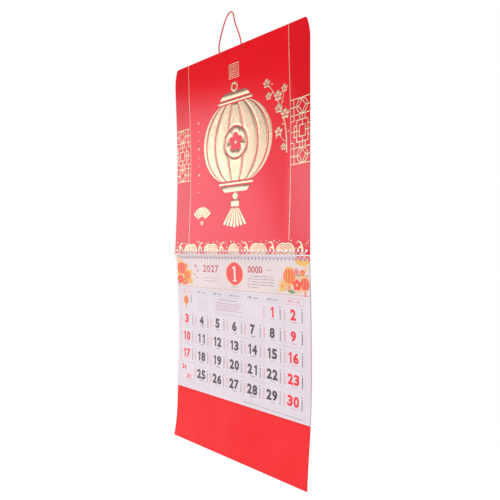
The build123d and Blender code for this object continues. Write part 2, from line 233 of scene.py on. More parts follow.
# Hanging cord
# A round cord of red twisted rayon, 2.4 mm thick. It comes out of the board's left hole, goes over the nail
# and back in at the right hole, and a knot behind the board stops each end.
cord_radius = 1.2
cord_sides = 24
cord_step = 0.35
strand_count = 3
strand_relief = 0.045
strand_sunk = 0.75  # how much of a strand's ridge lies below the cord's radius
strand_lay = 9.0  # length of cord in which a strand goes once round
sharp_edge = 40.0  # an edge that turns by more degrees than this isn't smoothed over
knot_y = 9.189
hole_x = 27.5
hole_z = -68.0
cord_route = np.array([
    (-hole_x, knot_y, hole_z),
    (-hole_x, knot_y - 5.8, hole_z),
    (-hole_x - 0.5, knot_y - 9.9, hole_z + 4.0),
    (-hole_x + 0.7, knot_y - 12.0, hole_z + 11.5),
    (-21.6, -5.2, -46.0),
    (-15.6, -6.0, -32.8),
    (-11.0, -4.8, -19.6),
    (-7.6, -2.4, -8.2),
    (-3.0, 0.0, 0.8),
    (5.4, 0.0, 0.8),
    (11.6, -2.2, -7.8),
    (15.8, -4.6, -19.8),
    (21.6, -5.8, -33.2),
    (27.2, -5.0, -46.6),
    (hole_x + 1.9, knot_y - 11.6, hole_z + 11.2),
    (hole_x + 0.9, knot_y - 9.7, hole_z + 3.9),
    (hole_x, knot_y - 5.7, hole_z),
    (hole_x, knot_y, hole_z),
])


def unit(vectors):
    """The vectors at length one."""
    return vectors / np.linalg.norm(vectors, axis=-1, keepdims=True)


def smooth_line(route):
    """The points of a NURBS spline of order 3 whose control points are the route's points."""
    curve = bpy.data.curves.new("line", "CURVE")
    curve.dimensions = "3D"
    spline = curve.splines.new("NURBS")
    spline.points.add(len(route) - 1)
    spline.points.foreach_set("co", np.c_[route, np.ones(len(route))].ravel())
    spline.order_u = 3
    spline.use_endpoint_u = True
    spline.resolution_u = 20
    holder = bpy.data.objects.new("line", curve)
    mesh = bpy.data.meshes.new_from_object(holder)
    points = np.empty(len(mesh.vertices) * 3)
    mesh.vertices.foreach_get("co", points)
    bpy.data.objects.remove(holder)
    bpy.data.curves.remove(curve)
    bpy.data.meshes.remove(mesh)
    return points.reshape(-1, 3)


def along(points):
    """How far along a line each of its points lies."""
    return np.concatenate([[0.0], np.cumsum(np.linalg.norm(np.diff(points, axis=0), axis=1))])


def evenly(points, step):
    """The line again, with its points a step apart."""
    reached = along(points)
    places = np.linspace(0, reached[-1], int(reached[-1] / step) + 1)
    return np.stack([np.interp(places, reached, points[:, i]) for i in range(3)], axis=1)


def grid_faces(rows, columns, closed=False):
    """The four-sided faces of a grid of points, numbered row by row. A closed grid's last column is joined
    to its first."""
    index = np.arange(rows * columns).reshape(rows, columns)
    if closed:
        index = np.hstack([index, index[:, :1]])
    return np.stack([index[:-1, :-1], index[1:, :-1], index[1:, 1:], index[:-1, 1:]], axis=-1)


def tube(points, outward, radius, sides, relief=None):
    """A tube round a line: at each point a ring in the plane across the line, laid out from the outward
    direction. The relief is a function of the angle round and the length along, added to the radius.
    Both ends are closed with a face."""
    ahead = unit(np.gradient(points, axis=0))
    outward = unit(outward - ahead * np.sum(outward * ahead, axis=1, keepdims=True))
    beside = np.cross(ahead, outward)
    angle = np.linspace(0, 2 * math.pi, sides + 1)[:-1]
    radii = np.broadcast_to(np.asarray(radius, float).reshape(-1, 1), (len(points), sides)).copy()
    if relief is not None:
        radii += relief(angle[None, :], along(points)[:, None])
    turn = angle[None, :, None]
    spread = np.cos(turn) * outward[:, None, :] + np.sin(turn) * beside[:, None, :]
    skin = points[:, None, :] + radii[:, :, None] * spread
    quads = grid_faces(len(points), sides, closed=True).reshape(-1, 4)[:, ::-1].tolist()
    first, last = list(range(sides)), list(range((len(points) - 1) * sides, len(points) * sides))
    return skin.reshape(-1, 3), quads + [first[::-1], last]


def add_piece(name, points, faces, body, slot, materials, sharp=sharp_edge):
    """A mesh from points in millimetres, smooth but for edges sharper than an angle, on its CAD body."""
    mesh = bpy.data.meshes.new(name)
    mesh.from_pydata((np.asarray(points) / 1000).tolist(), [], faces)
    mesh.shade_smooth()
    mesh.set_sharp_from_angle(angle=math.radians(sharp))
    for material in materials:
        mesh.materials.append(material)
    piece = bpy.data.objects.new(name, mesh)
    bpy.context.collection.objects.link(piece)
    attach(piece, body)
    return piece


def add_material(name, values):
    """A material with one Principled shader, and values on that shader's own sockets."""
    material = bpy.data.materials.new(name)
    material.use_nodes = True
    tree = material.node_tree
    shader = tree.nodes["Principled BSDF"]
    for key, value in values.items():
        shader.inputs[key].default_value = (*value, 1.0) if isinstance(value, tuple) else value
    return material, tree, shader


def bumped(tree, shader, source, strength, distance):
    """Bump from a height to the shader's Normal, in metres of height."""
    bump = add_node(tree, "ShaderNodeBump", values={"Strength": strength, "Distance": distance})
    tree.links.new(source, bump.inputs["Height"])
    tree.links.new(bump.outputs[0], shader.inputs["Normal"])


def srgb(*levels):
    """A colour written as display levels from 0 to 255, as the linear numbers that a shader takes."""
    level = np.array(levels) / 255
    linear = np.where(level <= 0.04045, level / 12.92, ((level + 0.055) / 1.055) ** 2.4)
    return tuple(float(c) for c in linear)


def noise(tree, scale, detail=4.0, roughness=0.5):
    """Soft noise over a piece, from Object coordinates."""
    source = add_node(
        tree, "ShaderNodeTexNoise", values={"Scale": scale, "Detail": detail, "Roughness": roughness}
    )
    tree.links.new(object_place(tree), source.inputs["Vector"])
    return source.outputs["Fac"]


def coloured(tree, shader, source, dark, pale, span=(0.35, 0.65)):
    """Colours a material from a dark to a pale tone while a value crosses a span."""
    tree.links.new(ramp(tree, source, [(span[0], dark), (span[1], pale)]), shader.inputs["Base Color"])


cord_rayon, cord_tree, cord_shader = add_material("cord_rayon", {"Roughness": 0.5, "Sheen Weight": 0.1})
fibres = noise(cord_tree, 900.0, 3.0)
coloured(cord_tree, cord_shader, fibres, srgb(204, 12, 16), srgb(234, 34, 30), (0.3, 0.7))
bumped(cord_tree, cord_shader, fibres, 0.5, 0.0002)


def twisted(angle, length):
    """Strands laid round each other: ridges round the cord that turn once in the length of the lay."""
    turn = 2 * math.pi * length / strand_lay
    return strand_relief * (np.abs(np.cos(strand_count * (angle - turn) / 2)) - strand_sunk)


cord_line = evenly(smooth_line(cord_route), cord_step)
loop_middle = np.array([0.0, knot_y, -38.0])
cord_points, cord_faces = tube(cord_line, cord_line - loop_middle, cord_radius, cord_sides, twisted)
cord = add_piece("cord", cord_points, cord_faces, "board", "red_cord", [cord_rayon])
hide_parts("hang_cord")

# Each stopper is a simple overhand knot pulled tight against the card, with a short end sticking out.
knot_turn = 1.35
knot_swell = 0.8
knot_depth = 1.9
knot_squeeze = 0.92
end_length, end_aside, end_sag = 5.6, 0.5, 1.1
pinch_share, end_pinch = 0.93, 0.8


def overhand(side):
    """A trefoil line: it goes twice round a ring while it turns three times round the ring's own line,
    with a short end from the knot's middle away from the board, which sags and is pinched where it is cut."""
    t = np.linspace(0, 2 * math.pi, 91)
    lean = np.stack([np.cos(3 * t) * np.cos(2 * t), np.sin(3 * t), np.cos(3 * t) * np.sin(2 * t)], axis=1)
    ring = knot_turn * np.stack([np.cos(2 * t), np.zeros_like(t), np.sin(2 * t)], axis=1)
    centre = np.array([side * hole_x, knot_y + knot_depth, hole_z])
    points, faces = tube(centre + ring + knot_swell * lean, lean, cord_radius * knot_squeeze, 16)
    s = np.linspace(0, 1, 17)
    end = centre + np.stack([end_aside * side * s, end_length * s, -end_sag * s**2], axis=1)
    taper = cord_radius * np.where(s > pinch_share, end_pinch, 1.0)
    end_points, end_faces = tube(end, np.tile([1.0, 0.0, 0.0], (17, 1)), taper, 16)
    shifted = [[i + len(points) for i in face] for face in end_faces]
    return np.vstack([points, end_points]), faces + shifted


for side, name in ((-1, "knot_left"), (1, "knot_right")):
    knot = add_piece(name, *overhand(side), "board", "red_cord", [cord_rayon])
    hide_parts("cord_" + name)


# Upper board
# One sheet of 0.5 mm white card, printed crimson and laminated with a satin film. It is bowed like part of
# a barrel and straightens towards its right edge. The wire's holes and the cord's holes are punched.
board_width = 345.0
board_height = 375.0
board_thickness = 0.5
board_top = -59.0
plane_y = 8.0
board_bow = (0.6, 0.3, 11.0, 7.5, 5.0, 0.0)
board_edge_bow = (0.6, 0.0, 0.0, 0.0, 0.0, 0.0)
board_flattening = 60.0
corner_radius = 82.0
corner_drop = 35.0
tip_radius = 4.0
wire_hole = 4.0
board_hole_drop = 368.6
loop_pitch = 25.4 / 3
loop_count = 40
loop_x = loop_pitch * (np.arange(loop_count) - (loop_count - 1) / 2)
cord_hole_radius = 1.7
cord_hole_drop = 9.0
hole_edges = np.sort(np.concatenate([loop_x - wire_hole / 2, loop_x + wire_hole / 2]))
hole_steps = (-2, -1, -0.5, 0, 0.5, 1, 2)  # places of the grid's lines at a cord hole, in its radii
hole_room = 2.4  # nearer to a cord hole than this, in its radii, no other upright line is kept
tip_rows = (3.9, 4.9)
plain_rows_span, board_row_step = (15.0, 363.0), 5.5


def bezier(heights, share):
    """The height of a Bezier curve with evenly spaced control heights, at a share of its length."""
    last = len(heights) - 1
    return sum(math.comb(last, i) * share**i * (1 - share) ** (last - i) * h for i, h in enumerate(heights))


def board_y(x, drop):
    """The front of the board: the barrel's bow, which eases to the edge's bow as the square of the way."""
    eased = np.clip((x - board_width / 2 + board_flattening) / board_flattening, 0, 1) ** 2
    share = drop / board_height
    bow = bezier(board_bow, share) * (1 - eased) + bezier(board_edge_bow, share) * eased
    return plane_y - board_thickness / 2 + bow


def board_half_width(drop):
    """Half the board's width at a drop: the long rounding of the corner, and the small one at its tip."""
    side = board_width / 2
    long_arc = side - corner_radius + np.sqrt(corner_radius**2 - np.clip(corner_drop - drop, 0, None) ** 2)
    tip_reach = math.sqrt((corner_radius - tip_radius) ** 2 - (corner_drop - tip_radius) ** 2)
    tip_x = side - corner_radius + tip_reach
    tip_end = tip_radius - tip_radius * (corner_drop - tip_radius) / (corner_radius - tip_radius)
    small_arc = tip_x + np.sqrt(np.clip(tip_radius**2 - (tip_radius - drop) ** 2, 0, None))
    return np.where(drop < tip_end, small_arc, long_arc)


def punched_lines(half_width, spread):
    """Places across a sheet: both edges of every wire hole, and a few even places outside them."""
    before = np.linspace(-half_width, hole_edges[0], spread)[:-1]
    after = np.linspace(hole_edges[-1], half_width, spread)[1:]
    return np.concatenate([before, hole_edges, after])


def in_wire_hole(columns, rows, hole_drop):
    """Which cells of a grid lie in one of the square holes."""
    x = (columns[:-1] + columns[1:]) / 2
    drop = (rows[:-1] + rows[1:]) / 2
    across = (np.abs(x[:, None] - loop_x[None, :]) < wire_hole / 2).any(axis=1)
    return (np.abs(drop - hole_drop) < wire_hole / 2)[:, None] & across[None, :]


def thicken(piece, thickness, back=0, rim=0):
    """Makes an open sheet a closed one: its front stays, and its back and its cut edges can get a material
    some places further on in its list."""
    solid = piece.modifiers.new("card", "SOLIDIFY")
    solid.thickness = thickness / 1000
    solid.offset = -1.0
    solid.use_even_offset = False
    solid.material_offset = back
    solid.material_offset_rim = rim
    graph = bpy.context.evaluated_depsgraph_get()
    mesh = bpy.data.meshes.new_from_object(piece.evaluated_get(graph))
    piece.modifiers.clear()
    piece.data = mesh
    mesh.name = piece.name
    mesh.set_sharp_from_angle(angle=math.radians(sharp_edge))


def thick_card(name, points, faces, thickness, body, slot, materials):
    """A thick sheet from the grid of its front, with materials for its front, its back and its edges."""
    piece = add_piece(name, points, faces, body, slot, materials)
    thicken(piece, thickness, 1, 2)
    return piece


def board_grid():
    """The board's columns and rows: close together at the cord holes and the rounded corners, and at both
    edges of every wire hole."""
    columns = punched_lines(board_width / 2, 5)
    near_hole = np.abs(np.abs(columns) - hole_x) < hole_room * cord_hole_radius
    at_holes = [side * hole_x + cord_hole_radius * k for side in (-1, 1) for k in hole_steps]
    corner_rows = tip_radius * (1 - np.cos(np.linspace(0, 1.1, 8)))
    hole_rows = [cord_hole_drop + cord_hole_radius * k for k in hole_steps]
    wire_rows = [board_hole_drop - wire_hole / 2, board_hole_drop + wire_hole / 2]
    plain_rows = np.arange(*plain_rows_span, board_row_step)
    rows = np.concatenate([corner_rows, tip_rows, hole_rows, plain_rows, wire_rows, [board_height]])
    return np.sort(np.concatenate([columns[~near_hole], at_holes])), np.unique(np.round(rows, 3))


# Round each cord hole the square lines of the grid are pulled into circles, and the cells inside are left
# out. Towards the rounded corners the rows are drawn in.
board_columns, board_rows = board_grid()
board_x, board_drop = np.meshgrid(board_columns, board_rows)
missing = in_wire_hole(board_columns, board_rows, board_hole_drop)
for side in (-1, 1):
    from_x, from_drop = board_x - side * hole_x, board_drop - cord_hole_drop
    square = np.maximum(np.abs(from_x), np.abs(from_drop))
    circle = np.maximum(np.hypot(from_x, from_drop), 1e-9)
    pull = np.clip((2 * cord_hole_radius - square) / cord_hole_radius, 0, 1)
    factor = 1 + pull * (square / circle - 1)
    board_x = side * hole_x + from_x * factor
    board_drop = cord_hole_drop + from_drop * factor
    inside = square < cord_hole_radius + 1e-6
    missing |= inside[:-1, :-1] & inside[1:, 1:] & inside[:-1, 1:] & inside[1:, :-1]
inner = 100.0  # the rounding only draws in what lies further out than this
outer_share = (board_half_width(board_drop) - inner) / (board_width / 2 - inner)
drawn_in = np.sign(board_x) * (inner + (np.abs(board_x) - inner) * outer_share)
board_x = np.where(np.abs(board_x) > inner, drawn_in, board_x)
board_points = np.stack([board_x, board_y(board_x, board_drop), board_top - board_drop], axis=-1)
board_faces = grid_faces(*board_x.shape)[~missing].tolist()


def paper_grain():
    """A node group for the tooth of card and paper: a fine height, and a slow drift of tone."""
    group = bpy.data.node_groups.new("paper_grain", "ShaderNodeTree")
    face = group.interface
    size = face.new_socket("Scale", in_out="INPUT", socket_type="NodeSocketFloat")
    size.default_value = 900.0
    face.new_socket("Height", in_out="OUTPUT", socket_type="NodeSocketFloat")
    face.new_socket("Drift", in_out="OUTPUT", socket_type="NodeSocketFloat")
    enter, leave = group.nodes.new("NodeGroupInput"), group.nodes.new("NodeGroupOutput")
    place = object_place(group)
    fine = add_node(group, "ShaderNodeTexNoise", values={"Detail": 3.0, "Roughness": 0.6})
    slow = add_node(group, "ShaderNodeTexNoise", values={"Scale": 14.0, "Detail": 2.0})
    group.links.new(place, fine.inputs["Vector"])
    group.links.new(place, slow.inputs["Vector"])
    group.links.new(enter.outputs["Scale"], fine.inputs["Scale"])
    group.links.new(fine.outputs["Fac"], leave.inputs["Height"])
    group.links.new(slow.outputs["Fac"], leave.inputs["Drift"])
    return group


grain_group = paper_grain()


def grained(tree, shader, scale, strength, distance=0.00005):
    """Places the paper grain in a material as its bump, and gives back the slow drift of its tone."""
    grain = add_node(tree, "ShaderNodeGroup", {"node_tree": grain_group}, {"Scale": scale})
    bumped(tree, shader, grain.outputs["Height"], strength, distance)
    return grain.outputs["Drift"]


def object_axes(tree):
    """The place of a point of a piece along X, Y and Z, in metres."""
    axes = tree.nodes.new("ShaderNodeSeparateXYZ")
    tree.links.new(object_place(tree), axes.inputs[0])
    return axes.outputs


# The side fields outside the gold lines are printed with fine upright stripes, tone on tone.
line_x = 128.8
stripe_pitch = 3.8
stripe_span = (0.3, 0.9)  # a stripe's ink comes in while the sine across the board rises through this
stripe_red = (*srgb(206, 2, 24), 1.0)
board_red, board_tree, board_shader = add_material(
    "laminated_red",
    {"Roughness": 0.14, "Specular IOR Level": 0.55, "Specular Tint": (1.0, 0.78, 0.98)},
)
drift = grained(board_tree, board_shader, 700.0, 0.10)
field_red = ramp(board_tree, drift, [(0.35, srgb(236, 0, 14)), (0.65, srgb(241, 1, 20))])
sideways = reckon(board_tree, "ABSOLUTE", object_axes(board_tree)["X"])
outside = reckon(board_tree, "GREATER_THAN", sideways, line_x / 1000)
wave = reckon(board_tree, "SINE", reckon(board_tree, "MULTIPLY", sideways, 2000 * math.pi / stripe_pitch))
stripe = add_node(
    board_tree, "ShaderNodeMapRange", values={"From Min": stripe_span[0], "From Max": stripe_span[1]}
)
board_tree.links.new(wave, stripe.inputs["Value"])
striped = reckon(board_tree, "MULTIPLY", stripe.outputs[0], outside)
board_tree.links.new(mixed(board_tree, striped, field_red, stripe_red), board_shader.inputs["Base Color"])

card_back, back_tree, back_shader = add_material("plain_card_back", {"Roughness": 0.8})
drift = grained(back_tree, back_shader, 500.0, 0.25)
coloured(back_tree, back_shader, drift, srgb(232, 228, 220), srgb(240, 237, 230))
card_core, core_tree, core_shader = add_material("cut_card_edge", {"Roughness": 0.85})
coloured(core_tree, core_shader, noise(core_tree, 60.0), srgb(168, 52, 62), srgb(196, 84, 90))

board = thick_card(
    "board", board_points.reshape(-1, 3), board_faces, board_thickness, "board", "red_board",
    [board_red, card_back, card_core],
)
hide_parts("upper_board")


# Gold foil
# Hot-stamped foil on the board: the stamp presses it on and pushes the card up under it, so that each
# shape stands out with a rounded edge. It is a thin bright gold, finely crinkled.
foil_height = 0.32
foil_edge = 0.45
widest_edge = 0.33  # the most of a narrow shape's width that one rounded edge takes
foil_bed = -0.06
foil_step = 4.0
foil_inset = 0.3
line_width, long_line_width = 2.0, 1.3
edge_profile = ((0.0, foil_bed), (0.35, 0.7 * foil_height), (1.0, foil_height))

gold_foil, foil_tree, foil_shader = add_material("gold_foil", {"Metallic": 0.78})
crinkle = noise(foil_tree, 420.0, 6.0, 0.62)
coloured(foil_tree, foil_shader, crinkle, srgb(194, 167, 139), srgb(220, 193, 168), (0.38, 0.6))
polish = ramp(foil_tree, noise(foil_tree, 90.0), [(0.3, 0.15), (0.7, 0.27)])
foil_tree.links.new(polish, foil_shader.inputs["Roughness"])
bumped(foil_tree, foil_shader, crinkle, 0.36, 0.0003)


def rounded(rim, steps):
    """Shares of the way across a raised shape, and its height there: up over a rim, level for a number of
    steps, and down again. The rim is a share of the way, or several."""
    shares = [share * rim for share, _ in edge_profile]
    shares += [rim + (1 - 2 * rim) * k / steps for k in range(1, steps)]
    shares += [1 - share * rim for share, _ in reversed(edge_profile)]
    rise = [height for _, height in edge_profile]
    return np.array(shares), np.array(rise + [foil_height] * (steps - 1) + rise[::-1])


class Stamp:
    """Collects the patches of one stamped piece, each a grid of flat places on the board (x to the right
    and y up from the middle of its top edge) with a height over the card."""

    def __init__(self):
        self.points, self.faces, self.count = [], [], 0

    def patch(self, x, y, height, closed=False, keep=None):
        """Lays a grid on the board's bowed front. Its order of points is turned so that it faces out."""
        surface = np.stack([x, board_y(x, -y) - height, board_top + y], axis=-1)
        cells = grid_faces(*x.shape, closed)
        chosen = cells.reshape(-1, 4) if keep is None else cells[keep]
        a, b, c = (surface.reshape(-1, 3)[chosen[:, i]] for i in (0, 1, 3))
        if np.cross(b - a, c - a)[:, 1].sum() > 0:
            chosen = chosen[:, ::-1]
        self.points.append(surface.reshape(-1, 3))
        self.faces += (chosen + self.count).tolist()
        self.count += x.size

    def between(self, near, far, closed=False, raised=0.0, steps=1):
        """A raised strip between two lines with as many points each. It rises over a rounded edge at both
        lines, and at both ends unless it is closed."""
        gap = np.linalg.norm(far - near, axis=1)
        shares, heights = rounded(np.minimum(foil_edge / np.maximum(gap, 1e-6), widest_edge), steps)
        shares = shares[:, :, None]
        grid = near[None] * (1 - shares) + far[None] * shares
        height = np.repeat(heights[:, None], len(near), axis=1) + raised
        height[[0, -1]] = foil_bed
        if not closed:
            grid = np.concatenate([grid[:, :1], grid, grid[:, -1:]], axis=1)
            end = np.full((len(height), 1), foil_bed)
            height = np.concatenate([end, height, end], axis=1)
        self.patch(grid[..., 0], grid[..., 1], height, closed)

    def field(self, shape, rims, steps):
        """A raised field whose places are a function of two shares, with a rounded edge all round."""
        u, u_height = rounded(rims[0], steps[0])
        v, v_height = rounded(rims[1], steps[1])
        x, y = shape(*np.meshgrid(u, v))
        self.patch(x, y, np.minimum.outer(v_height, u_height))

    def stroke(self, points, width=line_width, closed=False, raised=0.0):
        """A raised line of a width through the points, mitred at its corners."""
        points = np.array(points, float)
        if closed:
            points = np.vstack([points[-1:], points, points[:1]])
        ahead = unit(np.diff(points, axis=0))
        left = np.stack([-ahead[:, 1], ahead[:, 0]], axis=1)
        before, after = np.vstack([left[:1], left]), np.vstack([left, left[-1:]])
        mitre = (before + after) / (1 + np.sum(before * after, axis=1, keepdims=True)) * width / 2
        if closed:
            points, mitre = points[1:], mitre[1:]
        near, far = refined(points + mitre, points - mitre)
        if closed:
            near, far = near[:-1], far[:-1]
        self.between(near, far, closed, raised)

    def ring(self, x, y, inner, outer, sides=48, raised=0.0):
        """A raised ring, or with no inner radius a raised disc, round a centre."""
        t = np.linspace(0, 2 * math.pi, sides + 1)[:-1]
        way = np.stack([np.cos(t), np.sin(t)], axis=1)
        centre = np.array([x, y])
        if inner:
            self.between(centre + inner * way, centre + outer * way, True, raised)
            return
        edge = [(outer - share * foil_edge, rise) for share, rise in reversed(edge_profile)]
        spans = np.array([1e-3, 0.5 * outer] + [reach for reach, _ in edge])
        height = np.array([foil_height, foil_height] + [rise for _, rise in edge]) + raised
        grid = centre + spans[:, None, None] * way[None]
        self.patch(grid[..., 0], grid[..., 1], np.repeat(height[:, None], sides, axis=1), True)

    def make(self, name, *nodes):
        """The collected patches as one piece, in place of the CAD nodes that it stands for."""
        piece = add_piece(name, np.vstack(self.points), self.faces, "board", "gold_foil", [gold_foil], 60.0)
        if nodes:
            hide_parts(*nodes)


def refined(near, far):
    """Two lines side by side, with more points put in evenly where they are further apart than a step."""
    lengths = [np.linalg.norm(np.diff(line, axis=0), axis=1) for line in (near, far)]
    counts = np.maximum(np.ceil(np.maximum(*lengths) / foil_step).astype(int), 1)
    places = np.concatenate([i + np.arange(n) / n for i, n in enumerate(counts)] + [[len(counts)]])
    corner_places = np.arange(len(near))
    return tuple(
        np.stack([np.interp(places, corner_places, line[:, i]) for i in range(2)], axis=1)
        for line in (near, far)
    )


def arc_through(x, half_height, draw, count=49):
    """An upright arc through three points: x at mid height, and x times the draw at both ends."""
    y = np.linspace(-half_height, half_height, count)
    sagitta = x * (1 - draw)
    if abs(sagitta) < 1e-6:
        return np.stack([np.full(count, x), y], axis=1)
    radius = (half_height**2 + sagitta**2) / (2 * abs(sagitta))
    inward = np.sign(sagitta) * (radius - np.sqrt(radius**2 - y**2))
    return np.stack([x - inward, y], axis=1)


# The main ornament is a festival lantern with a ring, caps, rims, ribs, a medallion and a tassel.
fret_top, fret_width, fret_height, fret_line, fret_turns = 29.0, 25.6, 26.6, 1.5, 3
fret_clear, wave_clear = 6.0, 24.0
lantern_width, lantern_gap, lantern_ribs = 177.0, 2.4, 7
cap_width, cap_taper, cap_height = 78.0, 11.0, 11.0
rim_height, rim_overhang = 5.0, 5.0
ring_radius, ring_line = 9.0, 4.0
medallion_radius, petal_radius, petal_reach, blossom_dot = 28.0, 7.0, 10.5, 3.2
bead_radius = 7.0
tassel_head_width, tassel_head_height = 20.0, 13.0
tassel_height, tassel_width, tassel_strands, tassel_gap, tassel_scallop = 52.0, 62.0, 7, 1.8, 3.0
wave_height = 24.0
lantern_end = rim_height + 2 * lantern_gap + cap_height
body_top = -fret_top - fret_height - fret_clear - 2 * ring_radius - lantern_end
body_foot = wave_clear + wave_height - board_height + tassel_height + 2 * bead_radius + lantern_end
body_half = (body_top - body_foot) / 2
body_middle = (body_top + body_foot) / 2
draw = cap_width / lantern_width
ornament = Stamp()


def lantern_rib(inner, outer):
    """A rib between two upright arcs, both sides of the middle. Where the medallion's circle reaches
    over it, the rib ends at that circle."""
    near, far = arc_through(inner, body_half, draw), arc_through(outer, body_half, draw)
    clear = medallion_radius + lantern_gap
    circle = np.sqrt(np.clip(clear**2 - near[:, 1] ** 2, 0, None))
    near[:, 0] = np.maximum(near[:, 0], circle)
    for side in (-1, 1):
        flip = np.array([side, 1.0])
        centre = np.array([0.0, body_middle])
        ornament.between(near * flip + centre, far * flip + centre, steps=4)


half_gap = lantern_gap / 2
rib_edges = [lantern_width / 2 * math.sin(math.pi * (i + 0.5) / lantern_ribs) for i in range(4)]
rib_edges[-1] += half_gap
for inner_edge, outer_edge in zip(rib_edges, rib_edges[1:]):
    lantern_rib(inner_edge + half_gap, outer_edge - half_gap)

middle_half = rib_edges[0] - half_gap
rib_sagitta = middle_half * (1 - draw)
rib_bend = (body_half**2 + rib_sagitta**2) / (2 * rib_sagitta)


def middle_rib(side):
    """Half of the middle rib, from the medallion's circle to the cap, between two arcs."""
    def shape(u, v):
        """Across the rib with u, and up with v from the circle x^2 + y^2 = r^2 to the cap."""
        across = 2 * u - 1
        start = np.sqrt((medallion_radius + lantern_gap) ** 2 - (across * middle_half) ** 2)
        y = start * (1 - v) + body_half * v
        x = across * (middle_half - rib_bend + np.sqrt(rib_bend**2 - y**2))
        return x, side * y + body_middle
    ornament.field(shape, rims=(0.015, 0.01), steps=(6, 12))


middle_rib(1)
middle_rib(-1)

# The medallion in the lantern's middle leaves out a plum blossom with its dot.
turn = np.linspace(0, 2 * math.pi, 121)[:-1]
from_petal = (turn - math.pi / 2 + math.pi / 5) % (2 * math.pi / 5) - math.pi / 5
petal_bulge = np.sqrt(petal_radius**2 - (petal_reach * np.sin(from_petal)) ** 2)
blossom_edge = petal_reach * np.cos(from_petal) + petal_bulge
round_way = np.stack([np.cos(turn), np.sin(turn)], axis=1)
middle = np.array([0.0, body_middle])
ornament.between(middle + blossom_edge[:, None] * round_way, middle + medallion_radius * round_way, True)
ornament.ring(0, body_middle, 0, blossom_dot, 24)


def bar(stamp, x0, x1, y, x2, x3, y_end):
    """A raised field with a straight lower edge and a straight upper edge."""
    near, far = refined(np.array([[x0, y], [x1, y]]), np.array([[x2, y_end], [x3, y_end]]))
    stamp.between(near, far, steps=2)


for side in (-1, 1):
    rim_half = cap_width / 2 + rim_overhang
    rim_start = body_middle + side * (body_half + lantern_gap)
    bar(ornament, -rim_half, rim_half, rim_start, -rim_half, rim_half, rim_start + side * rim_height)
    cap_start = rim_start + side * (rim_height + lantern_gap)
    cap_half, slim_half = cap_width / 2, cap_width / 2 - cap_taper
    bar(ornament, -cap_half, cap_half, cap_start, -slim_half, slim_half, cap_start + side * cap_height)
ornament.ring(0, body_top + lantern_end + ring_radius, ring_radius - ring_line, ring_radius)
ornament.ring(0, body_foot - lantern_end - bead_radius, 0, bead_radius, 40)
tassel_top = body_foot - lantern_end - 2 * bead_radius
head_half = tassel_head_width / 2
bar(ornament, -head_half, head_half, tassel_top, -head_half, head_half, tassel_top - tassel_head_height)


def strand(number):
    """One strand of the tassel: it widens downwards between two straight sides, to a rounded end."""
    near, far = (2 * k / tassel_strands - 1 for k in (number, number + 1))
    top = tassel_top - tassel_head_height - tassel_gap
    slim = tassel_gap / 2 * tassel_head_width / tassel_width
    foot = tassel_top + tassel_scallop * (1 + abs(near + far)) - tassel_height

    def shape(u, v):
        """Across the strand with u and down it with v, where its end bulges by a parabola in u."""
        left = (near * head_half + slim) * (1 - v) + (near * tassel_width / 2 + tassel_gap / 2) * v
        right = (far * head_half - slim) * (1 - v) + (far * tassel_width / 2 - tassel_gap / 2) * v
        return left * (1 - u) + right * u, top * (1 - v) + foot * v - tassel_scallop * 4 * u * (1 - u) * v**6

    ornament.field(shape, rims=(0.1, 0.015), steps=(4, 10))


for number in range(tassel_strands):
    strand(number)
ornament.make("lantern_foil", "gold_ornament")

# Above the lantern is a small square with a key pattern that winds inwards.
fret = Stamp()
fret_middle = -fret_top - fret_height / 2
right, top = (fret_width - fret_line) / 2, (fret_height - fret_line) / 2
step_x, step_y = (2 * half / (2 * fret_turns + 1) for half in (right, top))
way_in = [(step_x - right, top)]
for number in range(1, fret_turns + 1):
    x, y = right - step_x * number, top - step_y * number
    way_in += [(-x, -y), (x, -y), (x, y), (step_x - x, y)]
fret.stroke([(x, y + fret_middle) for x, y in way_in[:-1]], fret_line, raised=0.01)
corners = [(-right, -top), (right, -top), (right, top), (-right, top)]
fret.stroke([(x, y + fret_middle) for x, y in corners], fret_line, True)
fret.make("key_pattern_foil", "gold_fret_square")

# Beside the lantern are a flowering branch, a string of beads and a small folding fan, of the same foil.
branch_x, branch_y = (119.5, 123.0, 103.0, 80.0), (-207.0, -150.0, -112.0, -85.0)
branch_thick, branch_thin, twig_thick, twig_thin = 3.0, 1.3, 1.8, 1.0
twigs = [
    ((0.12, 112.0, 103.0), (0.12, -188.0, -172.0)),
    ((0.40, 111.0, 106.0), (0.40, -142.0, -134.0)),
    ((0.55, 113.5, 117.0), (0.55, -118.0, -103.0)),
    ((0.80, 92.0, 84.0), (0.80, -102.0, -104.0)),
]
overlap_step = 0.02
blossoms = [(102.5, -169.5, 3.1), (117.5, -142.0, 3.4), (103.5, -131.0, 3.0), (117.0, -100.0, 2.5),
            (103.0, -109.5, 3.3), (82.0, -106.0, 2.5), (78.5, -84.0, 2.9), (113.0, -196.0, 2.3)]
bud_radius = 1.7
buds = [(97.5, -178.5), (111.5, -158.0), (112.5, -121.0), (90.5, -87.5), (124.0, -172.0)]
bead_column, bead_top, bead_pitch, beads = -103.0, -118.0, 17.0, 9
large_bead, small_bead = 2.2, 1.3
fan_pivot = np.array([-91.0, -315.0])
fan_inner, fan_outer, fan_spread, fan_blades, fan_split = 12.0, 31.0, 112.0, 7, 1.6
fan_eye_inner, fan_eye_outer = 1.6, 4.2
sprig = Stamp()


def tapered(xs, ys, thick, thin):
    """A line along a Bezier curve, whose width goes evenly from thick to thin."""
    share = np.linspace(0, 1, 22)
    centre = np.stack([bezier(xs, share), bezier(ys, share)], axis=1)
    ahead = unit(np.gradient(centre, axis=0))
    half = (thick + (thin - thick) * share)[:, None] / 2
    left = np.stack([-ahead[:, 1], ahead[:, 0]], axis=1)
    sprig.between(centre + half * left, centre - half * left)


